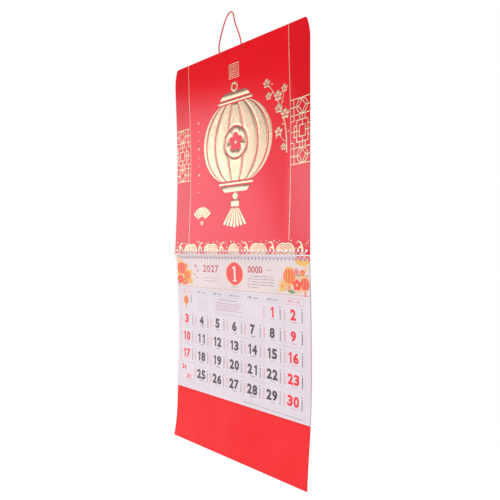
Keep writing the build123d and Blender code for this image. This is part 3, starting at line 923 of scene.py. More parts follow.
tapered(branch_x, branch_y, branch_thick, branch_thin)
for (start, *xs), (_, *ys) in twigs:
    tapered((bezier(branch_x, start), *xs), (bezier(branch_y, start), *ys), twig_thick, twig_thin)
for x, y, petal in blossoms:
    sprig.ring(x, y, 0, 0.5 * petal, 16, overlap_step)
    for number in range(5):
        way = math.radians(72 * number + 90)
        reach = 1.75 * petal
        sprig.ring(x + reach * math.cos(way), y + reach * math.sin(way), 0, petal, 20, overlap_step)
for x, y in buds:
    sprig.ring(x, y, 0, bud_radius, 16, overlap_step)
for number in range(beads):
    bead = large_bead if number % 3 == 0 else small_bead
    sprig.ring(bead_column, bead_top - bead_pitch * number, 0, bead, 16)
for number in range(fan_blades):
    sides = []
    for edge in (0, 1):
        way = math.radians(90 + fan_spread * (0.5 - (number + edge) / fan_blades))
        out = np.array([math.cos(way), math.sin(way)])
        shift = np.array([-out[1], out[0]]) * (edge - 0.5) * fan_split / 2
        sides.append(fan_pivot + out * np.linspace(fan_inner, fan_outer, 8)[:, None] + shift)
    sprig.between(*sides, steps=2)
sprig.ring(*fan_pivot, fan_eye_inner, fan_eye_outer, 28)
sprig.make("branch_and_fan_foil")

# Two long lines part the side fields off, and end just above the waves.
line_foot = wave_height - board_height + foil_inset
lines = Stamp()
for side in (-1, 1):
    lines.stroke([(side * line_x, -foil_inset), (side * line_x, line_foot)], long_line_width)
lines.make("line_foil", "gold_lines")

# In each side field is a window lattice of three parts, the outer two with a ring. The board's edge cuts
# the pattern off beyond its middle.
lattice_top, lattice_end_height, lattice_middle_height = 124.0, 25.8, 52.9
lattice_axis = 26.1
star_width, star_waist = 16.6, 0.42
frame_width, frame_height = 25.4, 34.8
core_width, core_height = 13.8, 18.0
bracket_width, stay_spacing = 37.0, 6.2
lattice_middle = -(lattice_top + lattice_end_height + lattice_middle_height / 2)
rail = lattice_middle_height / 2
end = rail + lattice_end_height
ring_y = (rail + end) / 2
ring_outer = lattice_end_height / 2
tip_reach = ring_y - rail - 1
wing = bracket_width / 2
frame_x, frame_y = frame_width / 2, frame_height / 2
core_x, core_y = core_width / 2, core_height / 2
inner_reach = lattice_axis - line_width / 2
outer_reach = board_width / 2 - foil_inset - line_x - lattice_axis
crossing_step = 0.008
lattices = Stamp()


def lattice_line(side, points, number, closed=False):
    """A line of the lattice on one side of the board. Lines that cross lie a hair above one another."""
    flip = [(side * (line_x + lattice_axis + x), y + lattice_middle) for x, y in points]
    lattices.stroke(flip, line_width, closed, raised=crossing_step * number)


for side in (-1, 1):
    for up in (-1, 1):
        for way, limit in ((-1, inner_reach), (1, outer_reach)):
            lattice_line(side, [(0, up * end), (way * limit, up * end)], 0)
            lattice_line(side, [(0, up * rail), (way * limit, up * rail)], 0)
            lattice_line(side, [(way * star_width / 2, up * ring_y), (way * limit, up * ring_y)], 1)
            lattice_line(side, [(way * stay_spacing, up * rail), (way * stay_spacing, up * frame_y)], 2)
            arm = [(way * frame_x, up * core_y), (way * min(wing, limit), up * core_y)]
            lattice_line(side, arm + ([(way * wing, 0)] if wing < limit else []), 1)
            for sign in (-1, 1):
                bent = (way * star_width / 2 * star_waist, up * ring_y + sign * tip_reach * star_waist)
                tip = (0, up * ring_y + sign * tip_reach)
                lattice_line(side, [tip, bent, (way * star_width / 2, up * ring_y)], 3)
        lattice_line(side, [(-wing, up * end), (-wing, up * frame_y), (-inner_reach, up * frame_y)], 1)
        lattice_line(side, [(0, up * rail), (0, up * core_y)], 2)
        middle_x, middle_y = side * (line_x + lattice_axis), lattice_middle + up * ring_y
        lattices.ring(middle_x, middle_y, ring_outer - line_width, ring_outer, 64, 4 * crossing_step)
    lattice_line(side, [(-core_x, 0), (-inner_reach, 0)], 2)
    lattice_line(side, [(core_x, 0), (outer_reach, 0)], 2)
    for half_x, half_y in ((frame_x, frame_y), (core_x, core_y)):
        box = [(-half_x, -half_y), (half_x, -half_y), (half_x, half_y), (-half_x, half_y)]
        lattice_line(side, box, 3, True)
lattices.make("lattice_foil", "gold_lattices")

# Along the lower edge run waves: mounds of round arcs, with crests between them that turn over, and drops
# of spray. The foil is a fine grid that dips into the card where there is none; such cells are left out.
mound_height, mound_radius, mound_pitch, lobe_offset = 20.0, 14.0, 61.0, 6.0
arc_pitch, arc_gap = 3.4, 0.36
crest_line, crest_tip = 3.565, 0.6
stem = np.array([(-0.16, 0.0), (-0.23, 0.27), (-0.17, 0.58), (-0.02, 0.84), (0.14, 0.92), (0.28, 0.81)])
curl = np.array([(-0.16, 0.45), (0.0, 0.54), (0.12, 0.42), (0.14, 0.22)])
spray_top, spray_reach, spray_foot = 24.0, 170.0, 4.0
spray_count = 110
drop_smallest, drop_largest, drop_clear = 1.0, 1.7, 0.3
wave_cell = 0.56
dip_slope, dip_depth = 0.35, 0.12
wave_foot = foil_inset - board_height
far_outside = -9.0


def grid_lines(stops):
    """Lines between given stops, about a cell apart."""
    runs = [np.linspace(a, b, max(round((b - a) / wave_cell), 1) + 1)[:-1] for a, b in zip(stops, stops[1:])]
    return np.concatenate(runs + [[stops[-1]]])


def in_mounds(x, y):
    """How far inside the mounds a place lies, negative outside. A mound is one disc in the middle and two
    side by side elsewhere, parted by thin arcs at even depths."""
    inside = np.full(x.shape, far_outside)
    for number in (-2, -1, 0, 1, 2):
        offsets = (0.0,) if number == 0 else (-lobe_offset, lobe_offset)
        away = [np.hypot(x - number * mound_pitch - o, y - mound_height + mound_radius) for o in offsets]
        depth = mound_radius - np.minimum.reduce(away)
        arc = np.round(depth / arc_pitch)
        banded = np.abs(depth - arc_pitch * arc) - arc_gap * (arc >= 1)
        inside = np.maximum(inside, np.where(depth > 0, banded, depth))
    return inside


def in_crest(x, y, line):
    """The same for a crest's line through points, whose width thins out to its tip with the square of the
    way: half the width less the distance from the nearest point of each straight piece."""
    inside = np.full(x.shape, far_outside)
    for k, (a, b) in enumerate(zip(line, line[1:])):
        span = b - a
        share = np.clip(((x - a[0]) * span[0] + (y - a[1]) * span[1]) / (span @ span), 0, 1)
        away = np.hypot(x - a[0] - share * span[0], y - a[1] - share * span[1])
        thin = 1 - crest_tip * ((k + share) / (len(line) - 1)) ** 2
        inside = np.maximum(inside, crest_line / 2 * thin - away)
    return inside


def with_spray(x, y, inside):
    """The same with drops of spray added: small discs at random places that are still free."""
    draws = np.random.default_rng(5)
    tries = spray_count * 3
    drops = draws.uniform((-spray_reach, spray_foot), (spray_reach, spray_top), (tries, 2))
    radii = draws.uniform(drop_smallest, drop_largest, tries)
    kept = 0
    for (drop_x, drop_y), radius in zip(drops, radii):
        column, row = np.searchsorted(x[0], drop_x), np.searchsorted(y[:, 0], drop_y)
        near = (slice(max(row - 4, 0), row + 4), slice(max(column - 4, 0), column + 4))
        if kept < spray_count and inside[near].max() < -drop_clear:
            inside = np.maximum(inside, radius - np.hypot(x - drop_x, y - drop_y))
            kept += 1
    return inside


wave_reach = board_width / 2 - foil_inset
wave_columns = grid_lines([-wave_reach, *hole_edges, wave_reach])
hole_middle = board_height - board_hole_drop - foil_inset
wave_rows = grid_lines([0.0, hole_middle - wire_hole / 2, hole_middle + wire_hole / 2, spray_top + 1])
wave_x, wave_y = np.meshgrid(wave_columns, wave_rows)
wave_inside = in_mounds(wave_x, wave_y)
for side in (-1, 1):
    for number in range(3):
        foot = np.array([side * (number + 0.5) * mound_pitch, 0])
        for line in (stem, curl):
            crest = in_crest(wave_x, wave_y, line * wave_height * np.array([-side, 1]) + foot)
            wave_inside = np.maximum(wave_inside, crest)
wave_inside = with_spray(wave_x, wave_y, wave_inside)
rise = np.clip(wave_inside / foil_edge, 0, 1)
dip = np.clip(dip_slope * wave_inside, -dip_depth, 0)
wave_lift = np.where(wave_inside > 0, foil_height * rise * (2 - rise), dip)
corners = [wave_lift[:-1, :-1], wave_lift[1:, :-1], wave_lift[1:, 1:], wave_lift[:-1, 1:]]
shown = np.maximum.reduce(corners) > 0
shown &= ~in_wire_hole(wave_columns, board_height - foil_inset - wave_rows, board_hole_drop)
waves = Stamp()
waves.patch(wave_x, wave_y + wave_foot, wave_lift, keep=shown)
waves.make("wave_foil", "gold_wave_border")


# Binding wire
# One white nylon-coated wire, 0.95 mm thick. It is bent flat into forty narrow fingers joined by short
# links, and then rolled into a tube, so that each finger is a double ring whose closed end meets the
# links behind the board.
wire_radius = 0.475
ring_bend = 6.0
twin_half = 1.2
link_corner = 0.7
seam_angle, seam_opening = 63.0, 20.0
axis_z = -435.001

white_nylon, wire_tree, wire_shader = add_material("white_nylon", {"Roughness": 0.36, "Coat Weight": 0.15})
nylon_tone = noise(wire_tree, 200.0)
coloured(wire_tree, wire_shader, nylon_tone, srgb(230, 219, 224), srgb(243, 233, 238), (0.3, 0.7))


def finger_flat():
    """One finger while the wire is still flat, as places along the comb and lengths from its links: a
    link, a rounded corner, a straight leg, a half circle, and the same way back."""
    length = ring_bend * math.radians(360 - seam_opening)
    bend_in = np.linspace(-math.pi / 2, 0, 6)
    half_turn = np.linspace(math.pi, 0, 11)
    corner = np.stack([np.cos(bend_in) * link_corner - twin_half - link_corner,
                       np.sin(bend_in) * link_corner + link_corner], axis=1)
    leg = np.linspace(link_corner, length - twin_half, 30)[1:-1]
    up = np.stack([np.full(len(leg), -twin_half), leg], axis=1)
    tip_x, tip_y = np.cos(half_turn) * twin_half, np.sin(half_turn) * twin_half + length - twin_half
    half = np.vstack([[(-loop_pitch / 2, 0.0)], corner, up])
    back = (half * np.array([-1, 1]))[::-1]
    return np.vstack([half, np.stack([tip_x, tip_y], axis=1), back[:-1]])


def rolled(flat):
    """The flat wire rolled up: a length from the links becomes an angle round the wire's axis."""
    angle = math.radians(seam_angle + seam_opening / 2) + flat[:, 1] / ring_bend
    outward = np.stack([np.zeros(len(flat)), np.cos(angle), np.sin(angle)], axis=1)
    middle = np.stack([flat[:, 0], np.full(len(flat), plane_y), np.full(len(flat), axis_z)], axis=1)
    return middle + ring_bend * outward, outward


finger = finger_flat()
comb = (finger[None] + np.stack([loop_x, np.zeros(loop_count)], axis=1)[:, None]).reshape(-1, 2)
comb = np.vstack([comb, [(loop_x[-1] + loop_pitch / 2, 0.0)]])
wire_line, wire_outward = rolled(comb)
wire = add_piece(
    "wire_comb", *tube(wire_line, wire_outward, wire_radius, 8), "board", "white_wire", [white_nylon], 60.0
)
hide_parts("binding_wire")


# Month leaves
# Thirteen leaves of thin coated paper, punched at the top and hung on the wire. They lie nearly flush, and
# their edges show as fine grey lines at the side and below.
leaf_count = 13
leaf_thickness = 0.085
leaf_width = 339.4
leaf_margin = 3.6
leaf_height = 267.0
leaf_top = -435.794
leaf_hole_drop = leaf_margin + wire_hole / 2
pad_stand, pad_thickness = 0.7, 1.5
pad_bow_left = (0.0, 5.4, 8.4, 7.4, 3.4)
pad_bow_right = (0.0, 4.4, 4.4, 7.4, 2.4)


def leaf_y(x, drop):
    """The front of the pad: its left and right bows, mixed evenly from side to side."""
    way = x / leaf_width + 0.5
    share = drop / leaf_height
    return plane_y + pad_stand + bezier(pad_bow_left, share) * (1 - way) + bezier(pad_bow_right, share) * way


leaf_columns = punched_lines(leaf_width / 2, 3)
leaf_rows = np.concatenate([[0.0, leaf_margin, leaf_margin + wire_hole], np.linspace(14.0, leaf_height, 17)])
leaf_grid_x, leaf_grid_drop = np.meshgrid(leaf_columns, leaf_rows)
whole_cells = ~in_wire_hole(leaf_columns, leaf_rows, leaf_hole_drop)
leaf_faces = grid_faces(*leaf_grid_x.shape)[whole_cells]
draws = np.random.default_rng(11)
leaf_points, pad_faces = [], []
for number in range(leaf_count):
    back_by = number * (pad_thickness - leaf_thickness) / (leaf_count - 1)
    uneven_x, uneven_z = draws.uniform(-0.3, 0.3, 2) * (number > 0)
    slip = (leaf_grid_drop / leaf_height) ** 2
    x = leaf_grid_x + uneven_x * slip
    z = leaf_top - leaf_grid_drop + uneven_z * slip
    y = leaf_y(leaf_grid_x, leaf_grid_drop) + back_by
    leaf_points.append(np.stack([x, y, z], axis=-1).reshape(-1, 3))
    pad_faces += (leaf_faces + number * leaf_grid_x.size).tolist()

leaf_paper, leaf_tree, leaf_shader = add_material("leaf_paper", {"Roughness": 0.5, "Specular IOR Level": 0.4})
drift = grained(leaf_tree, leaf_shader, 1100.0, 0.12)
coloured(leaf_tree, leaf_shader, drift, srgb(233, 221, 229), srgb(237, 225, 233))

# The holes' walls are painted near black, as painted shade for the shade inside the holes, while the
# guillotined edges stay pale: a wall is what lies in the row of holes and clear of the leaves' sides.
leaf_edge, edge_tree, edge_shader = add_material("leaf_edge", {"Roughness": 0.8, "Specular IOR Level": 0.1})
painted_hole_shade_colour = (*srgb(24, 18, 22), 1.0)
side_clear, row_clear = 1.0, 0.4
cut_tone = ramp(edge_tree, noise(edge_tree, 40.0), [(0.35, srgb(188, 180, 188)), (0.65, srgb(206, 198, 205))])
axes = object_axes(edge_tree)
off_middle = reckon(edge_tree, "ABSOLUTE", axes["X"])
over_row = reckon(edge_tree, "ADD", axes["Z"], (leaf_hole_drop - leaf_top) / 1000)
off_row = reckon(edge_tree, "ABSOLUTE", over_row)
clear_of_sides = reckon(edge_tree, "LESS_THAN", off_middle, (leaf_width / 2 - side_clear) / 1000)
in_row = reckon(edge_tree, "LESS_THAN", off_row, (wire_hole / 2 + row_clear) / 1000)
painted_hole_shade_mask = reckon(edge_tree, "MULTIPLY", clear_of_sides, in_row)
# In the row of holes the edge's own grey gives way to the painted shade.
edge_tree.links.new(mixed(edge_tree, painted_hole_shade_mask, cut_tone, painted_hole_shade_colour), edge_shader.inputs["Base Color"])
leaves = thick_card(
    "month_leaves", np.vstack(leaf_points), pad_faces, leaf_thickness, "pad", "printed_leaves",
    [leaf_paper, leaf_paper, leaf_edge],
)
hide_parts("calendar_pad")


# Print on the front leaf
# The month is printed on the front leaf: a header with lanterns, blossoms and the month's number, and under
# it seven columns of days. Each ink is a thin film on the paper, and a later one lies over an earlier one.
film, film_gap = 0.03, 0.01
header_end = 63.2
column_pitch, first_column = 46.1, -140.2
first_row, row_pitch = 93.2, 35.0
pill_middle, pill_width, pill_height, pill_line = 73.2, 43.0, 10.4, 0.5
digit_height, digit_advance, digit_shift = 17.8, 12.9, -1.8
first_weekday = 5
print_lean, lean_run = 0.0105, 25.0  # how much the days run downwards to the right, and where that sets in
print_cell = 14.0
day_count = 31
inks = {
    "header": srgb(242, 223, 224), "red": srgb(255, 52, 68), "dark": srgb(80, 74, 80),
    "grey": srgb(138, 130, 142), "faint": srgb(205, 194, 206), "pink": srgb(246, 150, 164),
    "orange": srgb(252, 124, 72), "yellow": srgb(253, 200, 112), "brown": srgb(216, 150, 110),
    "mauve": srgb(220, 160, 196), "green": srgb(126, 168, 122), "white": srgb(250, 240, 238),
    "scarlet": srgb(255, 84, 84), "crimson": srgb(200, 42, 62), "apricot": srgb(252, 206, 172),
}


class Print:
    """Collects the inked shapes of a sheet: flat points (x to the right, drop down from the top edge) with
    faces, an ink and a layer."""

    def __init__(self):
        self.points, self.faces, self.colours, self.count = [], [], [], 0

    def lay(self, flat, faces, ink, layer=1):
        """Puts a flat shape on the leaf's bowed front, higher by a film and a gap for each layer."""
        flat = np.array(flat, float).reshape(-1, 2)
        below_header = np.clip((flat[:, 1] - header_end - 2) / lean_run, 0, 1)
        flat[:, 1] += print_lean * (flat[:, 0] - first_column) * below_header
        y = leaf_y(flat[:, 0], flat[:, 1]) - (film + film_gap) * (layer + 1)
        self.points.append(np.stack([flat[:, 0], y, leaf_top - flat[:, 1]], axis=1))
        self.faces += [[i + self.count for i in face] for face in faces]
        self.colours += [inks[ink]] * sum(len(face) for face in faces)
        self.count += len(flat)

    def field(self, x0, x1, drop0, drop1, ink, layer=1):
        """A rectangle, in cells small enough to follow the paper."""
        columns = np.linspace(x0, x1, int((x1 - x0) / print_cell) + 2)
        rows = np.linspace(drop0, drop1, int((drop1 - drop0) / print_cell) + 2)
        x, drop = np.meshgrid(columns, rows)
        cells = grid_faces(*x.shape).reshape(-1, 4).tolist()
        self.lay(np.stack([x, drop], axis=-1), cells, ink, layer)

    def blocks(self, x, drop, width, height, ink, layer=1):
        """Small rectangles with their middles at the given places, all in one ink."""
        places = np.broadcast_arrays(*np.atleast_1d(x, drop, width, height))
        x, drop, width, height = (values[:, None] for values in places)
        corner = np.array([[-1, -1], [-1, 1], [1, 1], [1, -1]]) / 2
        flat = np.stack([x + width * corner[:, 0], drop + height * corner[:, 1]], axis=-1)
        self.lay(flat, np.arange(len(x) * 4).reshape(-1, 4).tolist(), ink, layer)

    def fan(self, x, drop, across, up, ink, layer=1):
        """A shape given by its outline round a middle, as distances across and up, counterclockwise."""
        flat = np.stack([np.append(0.0, across) + x, drop - np.append(0.0, up)], axis=1)
        count = len(across)
        self.lay(flat, [[0, 1 + i, 1 + (i + 1) % count] for i in range(count)], ink, layer)

    def disc(self, x, drop, half_width, half_height, ink, layer=1, sides=24):
        """An ellipse round a middle."""
        t = np.linspace(0, 2 * math.pi, sides + 1)[:-1]
        self.fan(x, drop, half_width * np.cos(t), half_height * np.sin(t), ink, layer)

    def loop(self, outer, inner, ink, layer=1):
        """The band between two closed outlines with as many points, counterclockwise seen from the front."""
        count = len(outer)
        cells = [[i, (i + 1) % count, count + (i + 1) % count, count + i] for i in range(count)]
        self.lay(np.vstack([outer, inner]), cells, ink, layer)

    def blossom(self, x, drop, radius, ink, heart, layer=1):
        """Five round petals as one outline, r = R (0.7 + 0.3 |cos(5t / 2)|), and a disc at its heart."""
        t = np.linspace(0, 2 * math.pi, 41)[:-1]
        r = radius * (0.7 + 0.3 * np.abs(np.cos(2.5 * (t - math.pi / 2))))
        self.fan(x, drop, r * np.cos(t), r * np.sin(t), ink, layer)
        self.disc(x, drop, 0.26 * radius, 0.26 * radius, heart, layer + 1, 12)

    def sprout(self, x, drop, length, width, degrees, ink, layer=1):
        """A pointed leaf: two arcs of a sine from its foot to its tip, turned by an angle."""
        share = np.linspace(0, 1, 9)
        bulge = width / 2 * np.sin(math.pi * share)
        there, back = length * (share - 0.5) - 1j * bulge, length * (0.5 - share) + 1j * bulge
        outline = np.concatenate([there, back[1:-1]]) * np.exp(1j * math.radians(degrees))
        self.fan(x, drop, outline.real, outline.imag, ink, layer)

    def paper_lantern(self, x, drop, half_width, half_height, body, trim, layer=1):
        """A round lantern: its body, upright ribs, two caps and a tassel of three threads."""
        self.disc(x, drop, half_width, half_height, body, layer, 28)
        for rib in (-0.66, -0.26, 0.26, 0.66):
            tall = 0.94 * half_height * math.sqrt(1 - rib**2)
            self.blocks(x + rib * half_width, drop, 0.07 * half_width, 2 * tall, trim, layer + 1)
        for end in (-1, 1):
            self.blocks(x, drop + end * half_height, half_width, 0.24 * half_height, trim, layer + 2)
        threads = x + half_width * np.array([-0.2, 0.0, 0.2])
        self.blocks(threads, drop + 1.5 * half_height, 0.1 * half_width, 0.76 * half_height, body, layer + 1)


def glyph(character, boldness):
    """One character of the plain built-in font: flat points with height one and width one, and faces."""
    curve = bpy.data.curves.new("glyph", "FONT")
    curve.body = character
    curve.offset = boldness
    curve.resolution_u = 3
    holder = bpy.data.objects.new("glyph", curve)
    mesh = bpy.data.meshes.new_from_object(holder)
    flat = np.array([vertex.co[:2] for vertex in mesh.vertices])
    faces = [list(polygon.vertices) for polygon in mesh.polygons]
    bpy.data.objects.remove(holder)
    bpy.data.curves.remove(curve)
    bpy.data.meshes.remove(mesh)
    return (flat - flat.min(axis=0)) / np.ptp(flat, axis=0), faces


def figure_one():
    """The figure one: an upright with a flag to the left, as two shapes."""
    flat = [(0.5, 0), (1, 0), (1, 1), (0.62, 1), (0.5, 0.74), (0, 0.68), (0, 0.82), (0.34, 0.87), (0.5, 1)]
    return np.array(flat), [[0, 1, 2, 3, 8, 4], [4, 8, 7, 6, 5]]


digit_width = {"1": 0.6}
leading_shift, figure_shift = 0.12, 0.14  # how far a one moves, in advances
bold_digits = {character: glyph(character, 0.046) for character in "023456789"} | {"1": figure_one()}
plain_digits = {character: glyph(character, 0.012) for character in "027"}
leaf_print = Print()


def number(text, x, drop, height, advance, ink, layer=1, digits=bold_digits, fill=0.9):
    """Digits of a height in a row round a middle, each in its own share of the advance. The one is narrower
    than the others and stands in the middle of its place; in front, it moves the row to the left."""
    if text.startswith("1") and len(text) > 1:
        x -= leading_shift * advance
    for place, character in enumerate(text):
        flat, faces = digits[character]
        width = advance * fill * digit_width.get(character, 1.0)
        right = x + advance * (place + 1 - len(text) / 2) - advance * (1 - fill) / 2
        if character == "1":
            right -= figure_shift * advance
        across = right - width + flat[:, 0] * width
        leaf_print.lay(np.stack([across, drop + height / 2 - flat[:, 1] * height], axis=1), faces, ink, layer)


def fine_line(x0, x1, drop, height, ink, layer=1):
    """A line of fine print too small to read: blocks about as wide as they are tall."""
    places = np.arange(x0 + height / 2, x1, 1.22 * height)
    widths = height * (0.72 + 0.2 * np.sin(7.3 * places))
    leaf_print.blocks(places, drop, widths, height, ink, layer)


def fine_column(x, drop, count, size, ink, layer=1):
    """The same, written downwards round a middle."""
    places = drop + 1.4 * size * (np.arange(count) - (count - 1) / 2)
    leaf_print.blocks(x, places, size * (0.78 + 0.15 * np.sin(5.1 * places)), size, ink, layer)


# The header's tint, its line, and clusters of lanterns, blossoms and leaves at both ends
print_margin = 0.3  # how far the ink keeps off a cut edge
header_line = 0.7
header_side = leaf_width / 2 - print_margin
hole_clear = leaf_margin + wire_hole + print_margin
bridge_width, bridge_height = loop_pitch - wire_hole - 2 * print_margin, wire_hole + 2 * print_margin
leaf_print.field(-header_side, header_side, hole_clear, header_end, "header", 0)
leaf_print.field(-header_side, -154, hole_clear, 15, "apricot")
leaf_print.field(144, header_side, hole_clear, 13, "yellow")
for x, drop, radius in ((-158, 22, 10), (-147, 33, 16), (-134, 48, 11), (-156, 50, 12), (138, 33, 16),
                        (157, 40, 12), (120, 46, 13), (146, 52, 10)):
    leaf_print.disc(x, drop, radius, 0.86 * radius, "apricot", 1, 32)
leaf_print.field(-header_side, header_side, header_end, header_end + header_line, "brown")
for x, drop, length, width, degrees, ink in (
    (-158, 14, 20, 9, 60, "yellow"), (-147, 20, 18, 8, 20, "yellow"), (-164, 40, 18, 8, 100, "yellow"),
    (-124, 34, 16, 7, -30, "yellow"), (-128, 54, 20, 8, -8, "yellow"), (-160, 56, 16, 7, 30, "green"),
    (160, 12, 22, 10, 15, "yellow"), (148, 10, 16, 8, -25, "yellow"), (163, 21, 12, 7, 80, "apricot"),
    (160, 36, 17, 9, 40, "green"), (165, 46, 16, 8, 110, "green"), (150, 33, 14, 7, 150, "green"),
    (112, 56, 16, 7, 12, "yellow"), (132, 58, 18, 7, -8, "green"), (146, 57, 14, 6, 20, "green"),
):
    leaf_print.sprout(x, drop, length, width, degrees, ink)
leaf_print.paper_lantern(-154, 27, 13.5, 12.5, "scarlet", "yellow", 2)
leaf_print.paper_lantern(-136, 41, 10.5, 9.5, "orange", "yellow", 5)
leaf_print.blossom(-160, 50, 9.0, "scarlet", "yellow", 5)
leaf_print.blossom(-146, 54, 7.6, "orange", "yellow", 8)
leaf_print.blossom(-126, 50, 5.5, "yellow", "orange", 8)
leaf_print.blossom(-139, 22, 5.0, "orange", "yellow", 5)
leaf_print.paper_lantern(160, 45, 9.0, 10.5, "scarlet", "yellow", 2)
leaf_print.paper_lantern(128, 33, 12.5, 13.5, "orange", "yellow", 2)
leaf_print.blossom(144, 47, 9.5, "scarlet", "yellow", 5)
leaf_print.blossom(114, 50, 8.0, "yellow", "orange", 8)
leaf_print.blossom(143, 26, 6.0, "pink", "scarlet", 5)
leaf_print.blossom(156, 27, 5.5, "orange", "yellow", 5)
for middle, first, last, ink in ((156.6, 143.8, 169.4, "scarlet"), (-160.8, -169.4, -152.2, "apricot")):
    leaf_print.field(first, last, print_margin, leaf_margin - print_margin, ink)
    gaps = middle + loop_pitch * np.array([-1.5, -0.5, 0.5, 1.5])
    gaps = gaps[(gaps > first) & (gaps < last)]
    leaf_print.blocks(gaps, leaf_hole_drop, bridge_width, bridge_height, ink)
for x, drop, radius in ((-109, 22, 4.2), (-103, 31, 3.2), (-112, 38, 2.6), (-104, 45, 2.2)):
    leaf_print.blossom(x, drop, radius, "mauve", "pink")

# The year, the month's number on a plaque, four small rings, and lines of fine print. The plaque is a
# rounded lozenge: its half sizes times a power of the cosine and of the sine. The one on it is made of an
# upright, a foot and a flag.
plaque_x, plaque_drop = 0.2, 33.4
plaque_half_width, plaque_half_height, plaque_rim = 21.2, 20.6, 1.07
across_power, up_power = 1.35, 0.85
ring_first, ring_pitch, ring_drop = 38.6, 8.8, 24.6
ring_rim, ring_hole = (4.1, 5.9), (2.2, 3.8)  # half widths and half heights
number("2027", -65.0, 26.1, 13.6, 11.6, "crimson", 1, plain_digits, 0.78)
fine_line(-90, -40, 43.5, 0.9, "grey")
fine_line(-84, -46, 49.5, 0.9, "grey")
turn = np.linspace(0, 2 * math.pi, 49)[:-1] + math.pi / 48
plaque_across = plaque_half_width * np.sign(np.cos(turn)) * np.abs(np.cos(turn)) ** across_power
plaque_up = plaque_half_height * np.sign(np.sin(turn)) * np.abs(np.sin(turn)) ** up_power
leaf_print.fan(plaque_x, plaque_drop, plaque_rim * plaque_across, plaque_rim * plaque_up, "apricot")
leaf_print.fan(plaque_x, plaque_drop, plaque_across, plaque_up, "scarlet", 2)
leaf_print.blocks(0.8, plaque_drop, 4.4, 27.0, "white", 3)
leaf_print.blocks(0.8, 46.6, 11.0, 2.0, "white", 4)
leaf_print.sprout(-2.4, 22.6, 8.0, 3.0, 28, "white", 4)
fine_line(-11, 11, 57.5, 0.9, "grey")
turn = np.linspace(0, 2 * math.pi, 25)[:-1]
ring_way = np.stack([np.cos(turn), -np.sin(turn)], axis=1)
for place in range(4):
    middle = np.array([ring_first + ring_pitch * place, ring_drop])
    leaf_print.loop(middle + ring_way * ring_rim, middle + ring_way * ring_hole, "crimson")
    leaf_print.blocks(middle[0], middle[1] + 1.2 * (place % 2), 2.2, 1.2, "pink")
fine_line(79, 91, 24.5, 1.6, "grey")
for line, (start, end) in enumerate(((39, 93), (34, 94), (33, 96), (33, 96), (33, 59))):
    fine_line(start, end, 36.2 + 4.9 * line, 1.35, "grey")

# The names of the days in pills, the grid, and the first week's notes
pill_corner = 4.2
grid_line = 0.3
grid_rows = (1, 2, 3, 4, 5.08)  # where the level lines lie, in rows below the first row's upper edge
grid_foot = 4.6  # where the upright lines end, in rows below the first row's middle
turn = np.linspace(0, 2 * math.pi, 33)[:-1] + math.pi / 32
pill_way = np.stack([np.cos(turn), -np.sin(turn)], axis=1)
pill_straight = np.sign(pill_way) * (pill_width / 2 - pill_corner, pill_height / 2 - pill_corner)
for column in range(7):
    middle = np.array([first_column + column_pitch * column, pill_middle])
    outer, inner = (middle + pill_straight + pill_way * r for r in (pill_corner, pill_corner - pill_line))
    weekend = column in (0, 6)
    leaf_print.loop(outer, inner, "pink" if weekend else "faint")
    fine_line(middle[0] - 13, middle[0] - 1, pill_middle, 3.0, "pink" if weekend else "grey")
    fine_line(middle[0] + 1, middle[0] + 13, pill_middle + 0.4, 2.0, "pink" if weekend else "grey")
grid_left, grid_right = first_column - column_pitch / 2, first_column + 6.5 * column_pitch
for row in grid_rows:
    drop = first_row + row_pitch * (row - 0.5)
    leaf_print.field(grid_left, grid_right, drop - grid_line / 2, drop + grid_line / 2, "faint")
for column in range(1, 8):
    x = first_column + column_pitch * (column - 0.5)
    top = first_row - row_pitch / 2 + 4 if column > 4 else first_row + row_pitch / 2
    foot = first_row + grid_foot * row_pitch
    leaf_print.field(x - grid_line / 2, x + grid_line / 2, top, foot, "faint")
leaf_print.paper_lantern(-143, 91, 7.6, 8.6, "orange", "yellow")
fine_column(-127, 87.5, 4, 2.6, "dark")
for line in range(8):
    fine_line(-106, -76, 83 + 3.6 * line, 0.7, "faint")
fine_line(-48, 4, 83, 1.2, "grey")
for line in range(4):
    fine_line(-56 + 3 * (line % 2), 18 - 6 * (line % 3), 89 + 4.2 * line, 1.9, "mauve")
fine_line(-58, 16, 108, 0.9, "faint")

